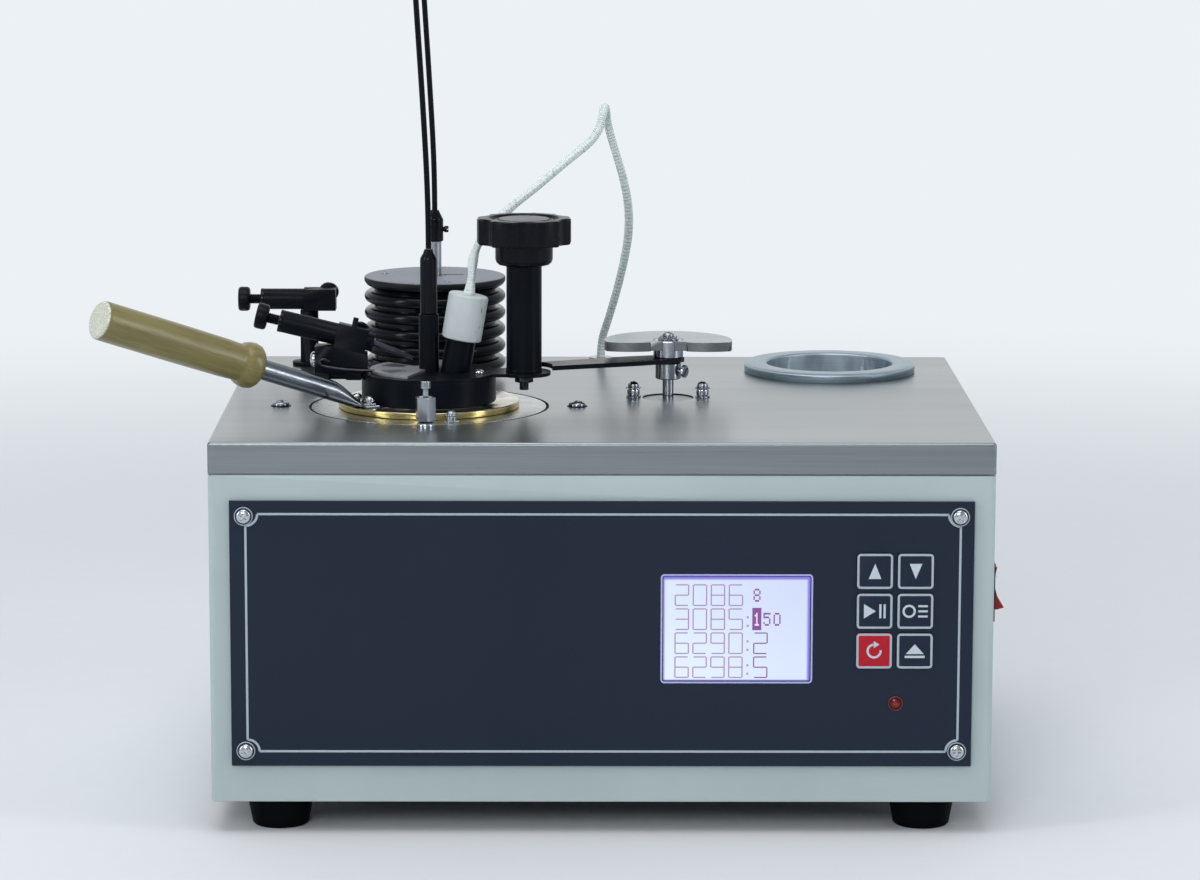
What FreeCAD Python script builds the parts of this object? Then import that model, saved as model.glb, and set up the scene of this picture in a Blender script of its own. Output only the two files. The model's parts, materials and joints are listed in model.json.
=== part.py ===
import FreeCAD, Part
import math
import os

# Closed-cup flash point tester, in millimetres, +Z up, +X to the operator's right, +Y to the back.
# The origin lies on the table, under the centre of the case.

V = FreeCAD.Vector
UP = V(0, 0, 1)
RIGHT = V(1, 0, 0)
BACK = V(0, 1, 0)

# Case and feet
CASE_WIDTH = 330.0
CASE_DEPTH = 250.0
CASE_HEIGHT = 140.0
CASE_WALL = 1.5
CASE_CORNER = 2.5
FOOT_HEIGHT = 14.0
FOOT_TOP_R = 14.5
FOOT_BOTTOM_R = 12.0
FOOT_INSET_X = 28.0
FOOT_INSET_Y = 20.0
FOOT_RECESS_R = 6.0
FOOT_RECESS_DEPTH = 7.0
FOOT_CHAMFER = 0.8

# Stainless cover
COVER_HEIGHT = 14.0
COVER_SHEET = 1.2
COVER_CORNER = 1.4
SEAM = 0.8
LIP_HEIGHT = 14.0
LIP_DROP = 6.0

# Shared clearances and overruns
FIT = 0.05
PLAY = 0.2
SLIDE_GAP = 0.1
OVER = 1.0
HOLE_PLAY = 0.25

# Fasteners
M4_R = 2.0
M4_HEAD_R = 3.75
M4_HEAD_H = 2.4
M3_HEAD_R = 2.7
M3_HEAD_H = 1.9
CROSS_ARM = 3.6
CROSS_WIDTH = 0.8
CROSS_DEPTH = 1.2
FASTENER_BITE = 6.0
SMALL_HEAD_R = 2.16

# Front panel and what it carries
PANEL_WIDTH = 312.0
PANEL_HEIGHT = 113.4
PANEL_RISE = 2.7
PANEL_SHEET = 2.0
PANEL_SCREW_INSET_X = 6.0
PANEL_SCREW_INSET_Z = 6.4
WINDOW_MARGIN = 10.5
LCD_LEFT = 24.7
LCD_WIDTH = 63.9
LCD_RISE = 35.8
LCD_HEIGHT = 45.8
LCD_GLASS = 1.6
LCD_BEZEL = 3.0
LCD_THICK = 7.0
KEY_SIDE = 15.0
KEY_CORNER = 1.3
KEY_LEFT_X = 114.5
KEY_PITCH_X = 17.1
KEY_TOP_RISE = 84.0
KEY_PITCH_Z = 17.05
KEY_PROUD = 0.6
KEY_TRAVEL = 0.5
KEY_FLANGE = 0.6
KEY_FLANGE_SHEET = 0.8
SWITCH_SIDE = 6.0
SWITCH_BODY = 3.0
SWITCH_BUTTON_R = 1.6
LED_R = 3.0
LED_DOME = 2.2
LED_RIM = 0.7
LED_RIM_SHEET = 0.8
LED_X = 123.8
LED_RISE = 27.2
BOARD_SHEET = 1.6
BOARD_MARGIN_LEFT = 9.0
BOARD_MARGIN_RIGHT = 7.0
BOARD_MARGIN_TOP = 3.0
BOARD_MARGIN_BOTTOM = 4.0
BOARD_POST_R = 2.6
BOARD_POST_INSET = 3.3

# Power switch on the right wall
ROCKER_FROM_FRONT = 20.0
ROCKER_DROP = 52.0
ROCKER_LENGTH = 18.0
ROCKER_WIDTH = 10.0
ROCKER_TIP = 9.5
ROCKER_VALLEY = 7.4
ROCKER_ROOT = 4.5
ROCKER_TILT = 10.0
ROCKER_PIVOT_IN = 5.0
ROCKER_PIN_R = 1.2
ROCKER_BACK_SHARE = 0.8
SWITCH_RIM = 2.2
SWITCH_RIM_PROUD = 1.4
SWITCH_DEPTH = 22.0
SWITCH_WALL = 1.2

# Power inlet on the back wall
INLET_X = 110.0
INLET_RISE = 46.0
INLET_WIDTH = 27.0
INLET_HEIGHT = 47.0
INLET_RIM = 3.0
INLET_PROUD = 2.5
INLET_DEPTH = 24.0
SOCKET_WIDTH = 23.0
SOCKET_HEIGHT = 15.6
SOCKET_DEPTH = 14.0
SOCKET_RISE = 8.0
BLADE_WIDTH = 2.0
BLADE_HEIGHT = 4.0
BLADE_LENGTH = 10.0
BLADE_PITCH = 7.0
FUSE_WIDTH = 20.0
FUSE_HEIGHT = 12.0
FUSE_RISE = -11.5
FUSE_PROUD = 0.8

# Inside the case
MAIN_BOARD_X = -40.0
MAIN_BOARD_Y = 0.0
MAIN_BOARD_WIDTH = 200.0
MAIN_BOARD_DEPTH = 160.0
MAIN_POST_H = 10.0
MAIN_POST_INSET = 6.0
CHIP_HEIGHT = 4.0
CHIP_SIDE = 24.0
HEATSINK_HEIGHT = 25.0
HEATSINK_WIDTH = 40.0
HEATSINK_DEPTH = 18.0
TRANSFORMER_X = 110.0
TRANSFORMER_Y = 0.0
TRANSFORMER_WIDTH = 50.0
TRANSFORMER_DEPTH = 60.0
TRANSFORMER_HEIGHT = 48.0
COIL_WIDTH = 40.0
COIL_DEPTH = 74.0
COIL_HEIGHT = 30.0

# Furnace and test cup, on one axis
CUP_X = -75.5
CUP_Y = -27.0
PLATE_R = 51.5
PLATE_GAP = 1.3
PLATE_THICK = 4.0
FURNACE_FLANGE_R = 71.0
FURNACE_FLANGE = 5.8
FURNACE_R = 45.0
FURNACE_DEPTH = 64.0
CAVITY_GAP = 1.2
CAVITY_DEPTH = 50.0
HEATER_GAP = 0.2
HEATER_SHEET = 3.0
HEATER_HEIGHT = 40.0
HEATER_DROP = 14.0
JACKET_SHEET = 12.0
JACKET_DROP = 8.0
FURNACE_SCREW_R = 65.15
CUP_BORE_R = 25.4
CUP_WALL = 1.4
CUP_BODY_R = 28.0
CUP_FLANGE_R = 39.7
CUP_FLANGE = 3.1
CUP_RIM_RISE = 11.0
CUP_DEPTH = 56.0
CUP_FLOOR = 2.5
CUP_CHAMFER = 0.5

# Cup handle
HANDLE_TURN = 214.5
HANDLE_RISE = 19.3
HANDLE_FOOT_R = 31.0
HANDLE_FOOT_Z = 4.6
ROD_R = 4.4
ROD_SHOWN = 60.0
ROD_IN_GRIP = 20.0
TAB_WIDTH = 18.6
TAB_LENGTH = 9.0
TAB_SHEET = 1.6
TAB_UNDERLAP = 0.9
TAB_SCREW_SIDE = 6.8
TAB_SCREW_ALONG = 3.4
GRIP_LENGTH = 84.0
GRIP_R = 8.4
GRIP_WAIST_R = 7.7
GRIP_BEAD_R = 10.0
GRIP_BEAD = 7.0
GRIP_END_ROUND = 2.5
GRIP_ROUND_SHARE = 0.3

# Cup lid
RIM_R = 29.5
RIM_GAP = 0.3
RIM_LIFT = 0.2
LID_SHEET = 1.5
SHUTTER_SHEET = 1.2
LOBE_REACH = 41.8
LOBE_R = 11.7
LOBE_NECK = 18.0
PORT_R = 6.5
PORT_TILT = 10.0
PORT_REACH = 15.93
PORT_AT_Z = 39.7
PORT_OVER = 3.0
PLUG_R = 8.75
PLUG_LENGTH = 20.0
PLUG_ROUND = 0.6
PROBE_R = 2.0
PROBE_TIP_Z = -16.0
PORT_TOP_Z = 29.85
VENT_INNER_R = 12.0
VENT_OUTER_R = 22.0
VENT_HALF_TURN = 13.0
SHUTTER_HUB_R = 9.0
SHUTTER_R = 25.8
SHUTTER_LEFT_FROM_TURN = 136.0
SHUTTER_LEFT_TO_TURN = 251.0
SHUTTER_BACK_FROM_TURN = 62.0
SHUTTER_BACK_TO_TURN = 96.0
VENT_LEFT_TURNS = (152.0, 208.0)
VENT_LID_TURNS = (180.0, 236.0)
COLUMN_R = 8.0
COLUMN_TOP_Z = 64.0
NECK_R = 12.0
KNOB_BASE_Z = 73.0
KNOB_TOP_Z = 83.5
KNOB_R = 20.6
KNOB_LOBES = 8
KNOB_NOTCH_R = 9.0
KNOB_NOTCH_CENTRE_R = 27.3
KNOB_INSERT_R = 13.5
KNOB_INSERT_DEPTH = 0.9
KNOB_ROUND = 1.2
KNOB_SPINDLE_R = 3.0
NUT_FLATS = 7.0
NUT_HEIGHT = 3.2
BOLT_TIP = 3.4

# Stirrer and its drive
BEARING_R = 4.4
BEARING_TOP_Z = 40.9
CHUCK_R = 3.75
CHUCK_TOP_Z = 66.1
CHUCK_TIP_Z = 69.7
CHUCK_TIP_R = 1.9
STIRRER_R = 2.0
STIRRER_TIP_Z = -35.0
BLADE_SHEET = 0.8
LOWER_BLADE_R = 16.0
LOWER_BLADE_Z = -31.0
UPPER_BLADE_R = 7.0
UPPER_BLADE_Z = 5.0
PROPELLER_WIDTH = 6.0
PROPELLER_PITCH = 35.0
PROPELLER_HUB_R = 3.2
PROPELLER_HUB_H = 4.0
PROPELLER_BLADES = 2
UPPER_BLADE_TURN = 90.0
TOWER_BEHIND = 87.0
TOWER_R = 32.3
TOWER_GROOVE_R = 27.5
TOWER_BORE_R = 22.0
TOWER_RIBS = 5
TOWER_RIB_PITCH = 7.6
TOWER_FIRST_RIB = 7.3
TOWER_RIB_HALF = 2.7
TOWER_TOP = 44.3
TOWER_RIM = 3.0
TOWER_CAP = 2.7
TOWER_CAP_ROUND = 0.8
TOWER_SCREW_CENTRE_R = 24.0
TOWER_SCREW_R = 1.35
TOWER_SCREW_H = 0.475
TOWER_SCREW_TURN = 45.0
TOWER_SCREWS = 3
MOTOR_R = 20.0
MOTOR_TOP_Z = 39.0
MOTOR_BOSS_R = 6.0
QUILL_R = 3.0
COUPLING_R = 3.9
COUPLING_Z = 62.8
COUPLING_TOP_Z = 73.6
COUPLING_TIP_Z = 77.0
COUPLING_TIP_R = 1.9
SET_SCREW_R = 1.5
SET_SCREW_OUT = 2.4
SET_SCREW_TURN = -30.0

# Front gas valve on the lid's bracket
BRACKET_REACH = 49.8
BRACKET_WIDTH = 13.0
BRACKET_SHEET = 3.2
BRACKET_BLOCK = 6.0
BRACKET_FOOT_Z = 11.0
BRACKET_SLOT = 15.0
BRACKET_SLOT_WIDTH = 6.0
BRACKET_SCREW_R = 3.375
BRACKET_LOW_SCREW_R = 1.89
LID_SCREW_CENTRE_R = 23.6
LID_SCREW_TURN = -20.0
SUPPORT_REACH = 27.1
SUPPORT_DEPTH = 11.0
SUPPORT_TOP_Z = 26.0
VALVE_TILT = 13.5
VALVE_PIVOT_REACH = 40.5
VALVE_PIVOT_Z = 31.9
VALVE_R = 4.85
VALVE_CYLINDER = 25.7
VALVE_BLOCK = 13.7
VALVE_BLOCK_SIDE = 10.0
VALVE_STEM_R = 2.5
VALVE_STEM = 5.2
VALVE_KNOB_R = 5.7
VALVE_KNOB = 5.0
VALVE_KNOB_CHAMFER = 0.7
KNURL_R = 4.0
KNURL_LENGTH = 3.0
REAR_KNURL_R = 4.4
NOZZLE_R = 1.4
NOZZLE_TIP_R = 0.7
NOZZLE_LENGTH = 19.0
NOZZLE_TILT = 8.0
PEG_R = 1.2
PEG_HEIGHT = 4.0

# Rear gas valve on its post
POST_FROM_LEFT = 29.5
POST_FROM_BACK = 27.0
POST_SIDE = 8.0
POST_FOOT_R = 8.0
POST_FOOT = 1.6
REAR_VALVE_LEFT = 22.5
REAR_VALVE_RIGHT = 12.5
REAR_VALVE_Z = 30.85
REAR_CYLINDER = 20.0

# Sample drive post
DRIVE_X = 30.2
DRIVE_Y = -1.0
DRIVE_R = 2.5
BUSH_HOLE_R = 11.5
BUSH_R = 11.2
BUSH_SHEET = 0.7
LOW_COLLAR_R = 5.75
LOW_COLLAR_Z = 8.5
ARM_Z = 16.2
ARM_SHEET = 2.0
HIGH_COLLAR_R = 6.65
HIGH_COLLAR_TOP_Z = 25.9
CAM_Z = 21.8
CAM_R = 28.4
CAM_FRONT = 7.5
CAM_BULGE = 2.2
CAM_NOTCH = 2.6
WASHER_R = 4.75
WASHER_SHEET = 0.8
ARM_HUB_R = 9.0
ARM_TIP_WIDTH = 13.0
ARM_LOBE_GAP = 0.9
STACK_SPACING = 30.8
STACK_R = 3.4
STACK_FLATS = 5.5
STACK_HEIGHT = 6.8
STACK_WASHER = 1.0
STACK_NUT = 2.6
STACK_TIP_R = 1.5
GEARBOX_R = 20.0
GEARBOX_HEIGHT = 22.0
GEARMOTOR_R = 16.0
GEARMOTOR_HEIGHT = 30.0
SHAFT_IN_GEARBOX = 12.0

# Loose fittings on the cover
HEX_POST_RIGHT = 0.5
HEX_POST_AHEAD = 58.0
HEX_FLATS = 8.0
HEX_FOOT_R = 3.9
HEX_FOOT = 1.6
HEX_BASE_R = 4.68
HEX_BASE = 0.8
HEX_TOP_Z = 13.1
HEX_NECK_R = 1.2
HEX_HEAD_R = 2.1
HEX_HEAD_Z = 16.7
HEX_TIP_Z = 20.0
PIN_RIGHT = 11.1
PIN_AHEAD = 43.5
PIN_R = 3.0
PIN_HEIGHT = 2.4
REST_RING_FROM_RIGHT = 57.9
REST_RING_FROM_BACK = 44.0
REST_RING_R = 39.5
REST_RING_BORE_R = 29.0
REST_RING_HEIGHT = 3.9
REST_RING_CHAMFER = 0.975
REST_WELL_WALL = 2.0
REST_WELL_FLOOR = 2.0
SOCKET_R = 5.5
SOCKET_RING_H = 1.8
SOCKET_FLOOR_H = 0.4

# Cords
LEAD_R = 1.9
FLEX_R = 1.25
LEAD_POINTS = [
    (-57.8, -27.0, 217.6), (-56.6, -27.0, 224.6), (-56.4, -23.4, 231.2), (-55.1, -16.2, 236.4),
    (-51.9, -8.4, 241.0), (-46.6, -0.6, 246.6), (-39.6, 6.2, 252.7), (-27.8, 14.4, 261.0),
    (-15.2, 21.6, 271.3), (-5.2, 27.6, 278.8), (-0.6, 31.0, 284.2), (1.0, 33.0, 291.3),
    (1.9, 38.2, 294.6), (2.6, 43.6, 291.6), (3.4, 45.6, 285.2), (6.4, 48.4, 274.6),
    (10.4, 54.0, 261.6), (13.2, 62.4, 247.4), (13.6, 73.4, 233.0), (11.5, 85.0, 218.4),
    (8.2, 95.6, 202.8), (4.2, 104.4, 187.8), (1.0, 111.2, 177.2), (1.0, 111.2, 168.4),
]
FLEX_POINTS = [
    (-75.5, -27.0, 237.7), (-75.5, -27.0, 258.0), (-77.6, -27.5, 300.0), (-80.5, -27.0, 345.0),
    (-82.6, -26.0, 381.0), (-84.0, -9.8, 403.4), (-84.6, 16.4, 412.0), (-84.0, 43.6, 403.4),
    (-82.4, 60.6, 380.0), (-80.0, 61.2, 342.0), (-77.4, 60.4, 300.0), (-75.5, 60.0, 264.0),
    (-75.5, 60.0, 245.0),
]
ARC_SHARE = 0.45

# Shape counts and shares
FULL_TURN = 360.0
HEX_SIDES = 6
STAR_SIDES = 12
RIB_STEPS = 6
ALONG_SHARE = 0.9

# Heights and places that follow from the sizes above
CASE_TOP = FOOT_HEIGHT + CASE_HEIGHT
TOP = CASE_TOP + COVER_HEIGHT
FRONT = -CASE_DEPTH / 2
SIDE = CASE_WIDTH / 2
PANEL_FACE = FRONT - PANEL_SHEET
LID_BOTTOM = TOP + CUP_FLANGE + CUP_RIM_RISE
LID_TOP = LID_BOTTOM + LID_SHEET
SHUTTER_BOTTOM = LID_TOP + SLIDE_GAP
HOLE_R = PLATE_R + PLATE_GAP
PANEL_BOTTOM = FOOT_HEIGHT + (CASE_HEIGHT - PANEL_HEIGHT) / 2 + PANEL_RISE
LCD_BOTTOM = PANEL_BOTTOM + LCD_RISE
KEY_TOP_Z = PANEL_BOTTOM + KEY_TOP_RISE
LED_Z = PANEL_BOTTOM + LED_RISE
ROCKER_Y = FRONT + ROCKER_FROM_FRONT
ROCKER_Z = CASE_TOP - ROCKER_DROP
INLET_Z = FOOT_HEIGHT + INLET_RISE
TOWER_Y = CUP_Y + TOWER_BEHIND
LOBE_X = CUP_X + LOBE_REACH
PORT_AT_X = CUP_X + PORT_REACH
BRACKET_END_X = CUP_X - BRACKET_REACH
SUPPORT_RIGHT_X = CUP_X - SUPPORT_REACH
VALVE_PIVOT_X = CUP_X - VALVE_PIVOT_REACH
POST_X = -SIDE + POST_FROM_LEFT
POST_Y = CASE_DEPTH / 2 - POST_FROM_BACK
REAR_VALVE_LEFT_X = POST_X - REAR_VALVE_LEFT
REAR_VALVE_RIGHT_X = POST_X + REAR_VALVE_RIGHT
HEX_POST_X = CUP_X + HEX_POST_RIGHT
HEX_POST_Y = CUP_Y - HEX_POST_AHEAD
PIN_X = CUP_X + PIN_RIGHT
PIN_Y = CUP_Y - PIN_AHEAD
REST_RING_X = SIDE - REST_RING_FROM_RIGHT
REST_RING_Y = CASE_DEPTH / 2 - REST_RING_FROM_BACK


def box(x_from, x_to, y_from, y_to, z_from, z_to):
    """Block between two corners."""
    return Part.makeBox(x_to - x_from, y_to - y_from, z_to - z_from, V(x_from, y_from, z_from))


def rod(x, y, radius, z_from, z_to):
    """Upright cylinder."""
    return Part.makeCylinder(radius, z_to - z_from, V(x, y, z_from), UP)


def ring(x, y, outer, inner, z_from, z_to):
    """Upright tube."""
    return rod(x, y, outer, z_from, z_to).cut(rod(x, y, inner, z_from - OVER, z_to + OVER))


def face_of(points):
    """Flat face inside a closed outline of straight edges."""
    return Part.Face(Part.makePolygon(list(points) + [points[0]]))


def turned(x, y, outline):
    """Solid of revolution about an upright axis, from (radius, height) points."""
    face = face_of([V(x + r, y, z) for r, z in outline])
    return face.revolve(V(x, y, 0), UP, FULL_TURN)


def prism(x, y, radius, sides, z_from, z_to):
    """Upright regular prism, its corners on the radius."""
    corners = []
    for i in range(sides):
        turn = 2 * math.pi * i / sides
        corners.append(V(x + radius * math.cos(turn), y + radius * math.sin(turn), z_from))
    return face_of(corners).extrude(UP * (z_to - z_from))


def hexagon(x, y, flats, z_from, z_to):
    """Upright hexagon prism, from its width across flats."""
    return prism(x, y, flats / 2 / math.cos(math.pi / HEX_SIDES), HEX_SIDES, z_from, z_to)


def rounded_box(x_from, x_to, y_from, y_to, z_from, z_to, radius, along):
    """Block whose edges along one direction are rounded."""
    block = box(x_from, x_to, y_from, y_to, z_from, z_to)
    edges = [e for e in block.Edges if abs(e.tangentAt(e.FirstParameter).dot(along)) > ALONG_SHARE]
    return block.makeFillet(radius, edges)


def turned_to(shape, direction, place):
    """A copy whose +Z points along the direction, moved from the origin to the place."""
    copy = shape.copy()
    rotation = FreeCAD.Rotation(UP, direction)
    copy.Placement = FreeCAD.Placement(place, rotation).multiply(copy.Placement)
    return copy


def polar(radius, degrees):
    """Offsets along X and Y at a radius and an angle."""
    turn = math.radians(degrees)
    return radius * math.cos(turn), radius * math.sin(turn)


def sector(x, y, inner, outer, turn_from, turn_to, z_from, z_to):
    """Part of a flat ring between two angles."""
    wedge = Part.makeCylinder(outer, z_to - z_from, V(x, y, z_from), UP, turn_to - turn_from)
    wedge.rotate(V(x, y, z_from), UP, turn_from)
    return wedge.cut(rod(x, y, inner, z_from - OVER, z_to + OVER))


def pan_head(radius, height):
    """Low domed head standing on the origin, with a cross recess."""
    crown = radius * radius / height / 2 + height / 2
    ball = Part.makeSphere(crown, V(0, 0, height - crown))
    head = ball.common(rod(0, 0, radius, 0, height + OVER))
    arm = CROSS_ARM * radius / M4_HEAD_R
    half = CROSS_WIDTH / 2
    floor = height - CROSS_DEPTH * height / M4_HEAD_H
    cross = box(-arm / 2, arm / 2, -half, half, floor, height + OVER)
    cross = cross.fuse(box(-half, half, -arm / 2, arm / 2, floor, height + OVER))
    return head.cut(cross)


def pan_screw(head_radius, head_height, radius, length):
    """Pan head screw, its head's underside at the origin and its shank below."""
    return pan_head(head_radius, head_height).fuse(rod(0, 0, radius, -length, 0)).removeSplitter()


def fillet_round(start, corner, end):
    """Arc that rounds a corner of a route, with the points where it leaves the two runs."""
    back = start - corner
    ahead = end - corner
    turn = math.pi - back.getAngle(ahead)
    reach = ARC_SHARE * min(back.Length, ahead.Length)
    radius = reach / math.tan(turn / 2)
    back.normalize()
    ahead.normalize()
    enter = corner + back * reach
    leave = corner + ahead * reach
    inward = back + ahead
    inward.normalize()
    centre = corner + inward * (radius / math.cos(turn / 2))
    middle = centre - inward * radius
    return Part.Arc(enter, middle, leave).toShape(), enter, leave, radius


def cord(name, points, radius):
    """Tube along straight runs that tangent arcs join."""
    route = [V(*p) for p in points]
    edges = []
    radii = []
    last = route[0]
    for start, corner, end in zip(route, route[1:], route[2:]):
        arc, enter, leave, bend = fillet_round(start, corner, end)
        edges.append(Part.LineSegment(last, enter).toShape())
        edges.append(arc)
        radii.append(bend)
        last = leave
    edges.append(Part.LineSegment(last, route[-1]).toShape())
    path = Part.Wire(edges)
    heading = route[1] - route[0]
    section = Part.Wire(Part.makeCircle(radius, route[0], heading))
    tube = path.makePipeShell([section], True, False)
    volume = math.pi * radius * radius * path.Length
    print(name, "length", round(path.Length, 1), "volume share", round(tube.Volume / volume, 4))
    print(name, "radii", [round(r, 1) for r in radii])
    return tube


def save(node, *solids):
    """Write one node's solids to its STEP file."""
    shape = solids[0] if len(solids) == 1 else Part.makeCompound(list(solids))
    if not shape.isValid():
        print("not valid:", node)
    shape.exportStep("parts/" + node + ".step")


def corners_of(half_x, half_y):
    """The four places of a rectangle round the origin."""
    return [(sx * half_x, sy * half_y) for sx in (-1, 1) for sy in (-1, 1)]


FOOT_PLACES = corners_of(SIDE - FOOT_INSET_X, CASE_DEPTH / 2 - FOOT_INSET_Y)


def make_feet():
    """Four tapered rubber feet, open below for their screws."""
    feet = []
    for x, y in FOOT_PLACES:
        foot = turned(x, y, [
            (M4_R + HOLE_PLAY, FOOT_RECESS_DEPTH),
            (FOOT_RECESS_R, FOOT_RECESS_DEPTH),
            (FOOT_RECESS_R, 0),
            (FOOT_BOTTOM_R - FOOT_CHAMFER, 0),
            (FOOT_BOTTOM_R, FOOT_CHAMFER),
            (FOOT_TOP_R, FOOT_HEIGHT),
            (M4_R + HOLE_PLAY, FOOT_HEIGHT),
        ])
        feet.append(foot)
    save("feet", *feet)


def make_base():
    """Floor of the case with the four screws that hold the feet."""
    half_x = SIDE - CASE_WALL - PLAY
    half_y = CASE_DEPTH / 2 - CASE_WALL - PLAY
    plate = box(-half_x, half_x, -half_y, half_y, FOOT_HEIGHT, FOOT_HEIGHT + CASE_WALL)
    screws = []
    for x, y in FOOT_PLACES:
        hole = rod(x, y, M4_R + HOLE_PLAY, FOOT_HEIGHT - OVER, FOOT_HEIGHT + CASE_WALL + OVER)
        plate = plate.cut(hole)
        grip = FOOT_HEIGHT - FOOT_RECESS_DEPTH + CASE_WALL
        nut = hexagon(0, 0, NUT_FLATS, -grip - NUT_HEIGHT, -grip)
        screw = pan_screw(M4_HEAD_R, M4_HEAD_H, M4_R, grip + NUT_HEIGHT + OVER).fuse(nut).removeSplitter()
        screws.append(turned_to(screw, -UP, V(x, y, FOOT_RECESS_DEPTH)))
    save("base_plate", plate, *screws)


def panel_screw_places():
    """Centres of the front panel's four screws, as X and Z."""
    half = PANEL_WIDTH / 2 - PANEL_SCREW_INSET_X
    low = PANEL_BOTTOM + PANEL_SCREW_INSET_Z
    high = PANEL_BOTTOM + PANEL_HEIGHT - PANEL_SCREW_INSET_Z
    return [(sx * half, z) for sx in (-1, 1) for z in (low, high)]


def make_case():
    """Painted sheet box, open below, with the lip that the cover sits round."""
    shell = rounded_box(-SIDE, SIDE, FRONT, -FRONT, FOOT_HEIGHT, CASE_TOP, CASE_CORNER, UP)
    in_x = SIDE - CASE_WALL
    in_y = CASE_DEPTH / 2 - CASE_WALL
    lip = box(-in_x, in_x, -in_y, in_y, CASE_TOP - LIP_DROP, CASE_TOP - LIP_DROP + LIP_HEIGHT)
    shell = shell.fuse(lip)
    shell = shell.cut(box(-in_x, in_x, -in_y, in_y, FOOT_HEIGHT - OVER, CASE_TOP - LIP_DROP))
    lip_x = in_x - CASE_WALL
    lip_y = in_y - CASE_WALL
    shell = shell.cut(box(-lip_x, lip_x, -lip_y, lip_y, FOOT_HEIGHT, TOP))
    half = PANEL_WIDTH / 2 - WINDOW_MARGIN
    low = PANEL_BOTTOM + WINDOW_MARGIN
    high = PANEL_BOTTOM + PANEL_HEIGHT - WINDOW_MARGIN
    shell = shell.cut(box(-half, half, FRONT - OVER, FRONT + CASE_WALL + OVER, low, high))
    for x, z in panel_screw_places():
        hole = Part.makeCylinder(M4_R + HOLE_PLAY, 2 * CASE_WALL + 2 * OVER, V(x, FRONT - OVER, z), BACK)
        shell = shell.cut(hole)
    half_y = ROCKER_WIDTH / 2 + SWITCH_WALL + PLAY
    half_z = ROCKER_LENGTH / 2 + SWITCH_WALL + PLAY
    shell = shell.cut(box(
        SIDE - CASE_WALL - OVER, SIDE + OVER,
        ROCKER_Y - half_y, ROCKER_Y + half_y, ROCKER_Z - half_z, ROCKER_Z + half_z,
    ))
    half_x = INLET_WIDTH / 2 + PLAY
    half_z = INLET_HEIGHT / 2 + PLAY
    back = CASE_DEPTH / 2
    shell = shell.cut(box(
        INLET_X - half_x, INLET_X + half_x,
        back - CASE_WALL - OVER, back + OVER, INLET_Z - half_z, INLET_Z + half_z,
    ))
    save("case_shell", shell.removeSplitter())


def furnace_screw_places():
    """Centres of the two screws that hang the furnace from the cover."""
    return [(CUP_X - FURNACE_SCREW_R, CUP_Y), (CUP_X + FURNACE_SCREW_R, CUP_Y)]


def stack_places():
    """Centres of the two screws that hang the sample drive from the cover."""
    return [(DRIVE_X - STACK_SPACING / 2, DRIVE_Y), (DRIVE_X + STACK_SPACING / 2, DRIVE_Y)]


def make_cover():
    """Folded stainless cover with its holes."""
    bottom = CASE_TOP + SEAM
    cover = rounded_box(-SIDE, SIDE, FRONT, -FRONT, bottom, TOP, COVER_CORNER, UP)
    rim = [e for e in cover.Edges if abs(e.BoundBox.ZMin - TOP) < FIT and abs(e.BoundBox.ZMax - TOP) < FIT]
    cover = cover.makeFillet(COVER_CORNER, rim)
    in_x = SIDE - COVER_SHEET
    in_y = CASE_DEPTH / 2 - COVER_SHEET
    cover = cover.cut(box(-in_x, in_x, -in_y, in_y, bottom - OVER, TOP - COVER_SHEET))
    low = TOP - COVER_SHEET - OVER
    high = TOP + OVER
    holes = [rod(CUP_X, CUP_Y, HOLE_R, low, high), rod(DRIVE_X, DRIVE_Y, BUSH_HOLE_R, low, high)]
    for x, y in furnace_screw_places():
        holes.append(rod(x, y, M4_R + HOLE_PLAY, low, high))
    for x, y in stack_places():
        holes.append(rod(x, y, STACK_TIP_R + HOLE_PLAY, low, high))
    holes.append(rod(CUP_X, TOWER_Y, MOTOR_BOSS_R, low, high))
    holes.append(rod(REST_RING_X, REST_RING_Y, REST_RING_BORE_R + REST_WELL_WALL + HOLE_PLAY, low, high))
    for hole in holes:
        cover = cover.cut(hole)
    save("top_cover", cover)


def key_places():
    """Name and centre (X, Z) of each key."""
    names = [["key_up", "key_down"], ["key_start", "key_record"], ["key_reset", "key_lid"]]
    places = []
    for row, pair in enumerate(names):
        for column, name in enumerate(pair):
            places.append((name, KEY_LEFT_X + column * KEY_PITCH_X, KEY_TOP_Z - row * KEY_PITCH_Z))
    return places


KEY_HALF = KEY_SIDE / 2
KEY_BACK = FRONT + SLIDE_GAP + KEY_FLANGE_SHEET
SWITCH_TIP = KEY_BACK + KEY_TRAVEL + SLIDE_GAP
BOARD_FACE = FRONT + LCD_THICK


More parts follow.
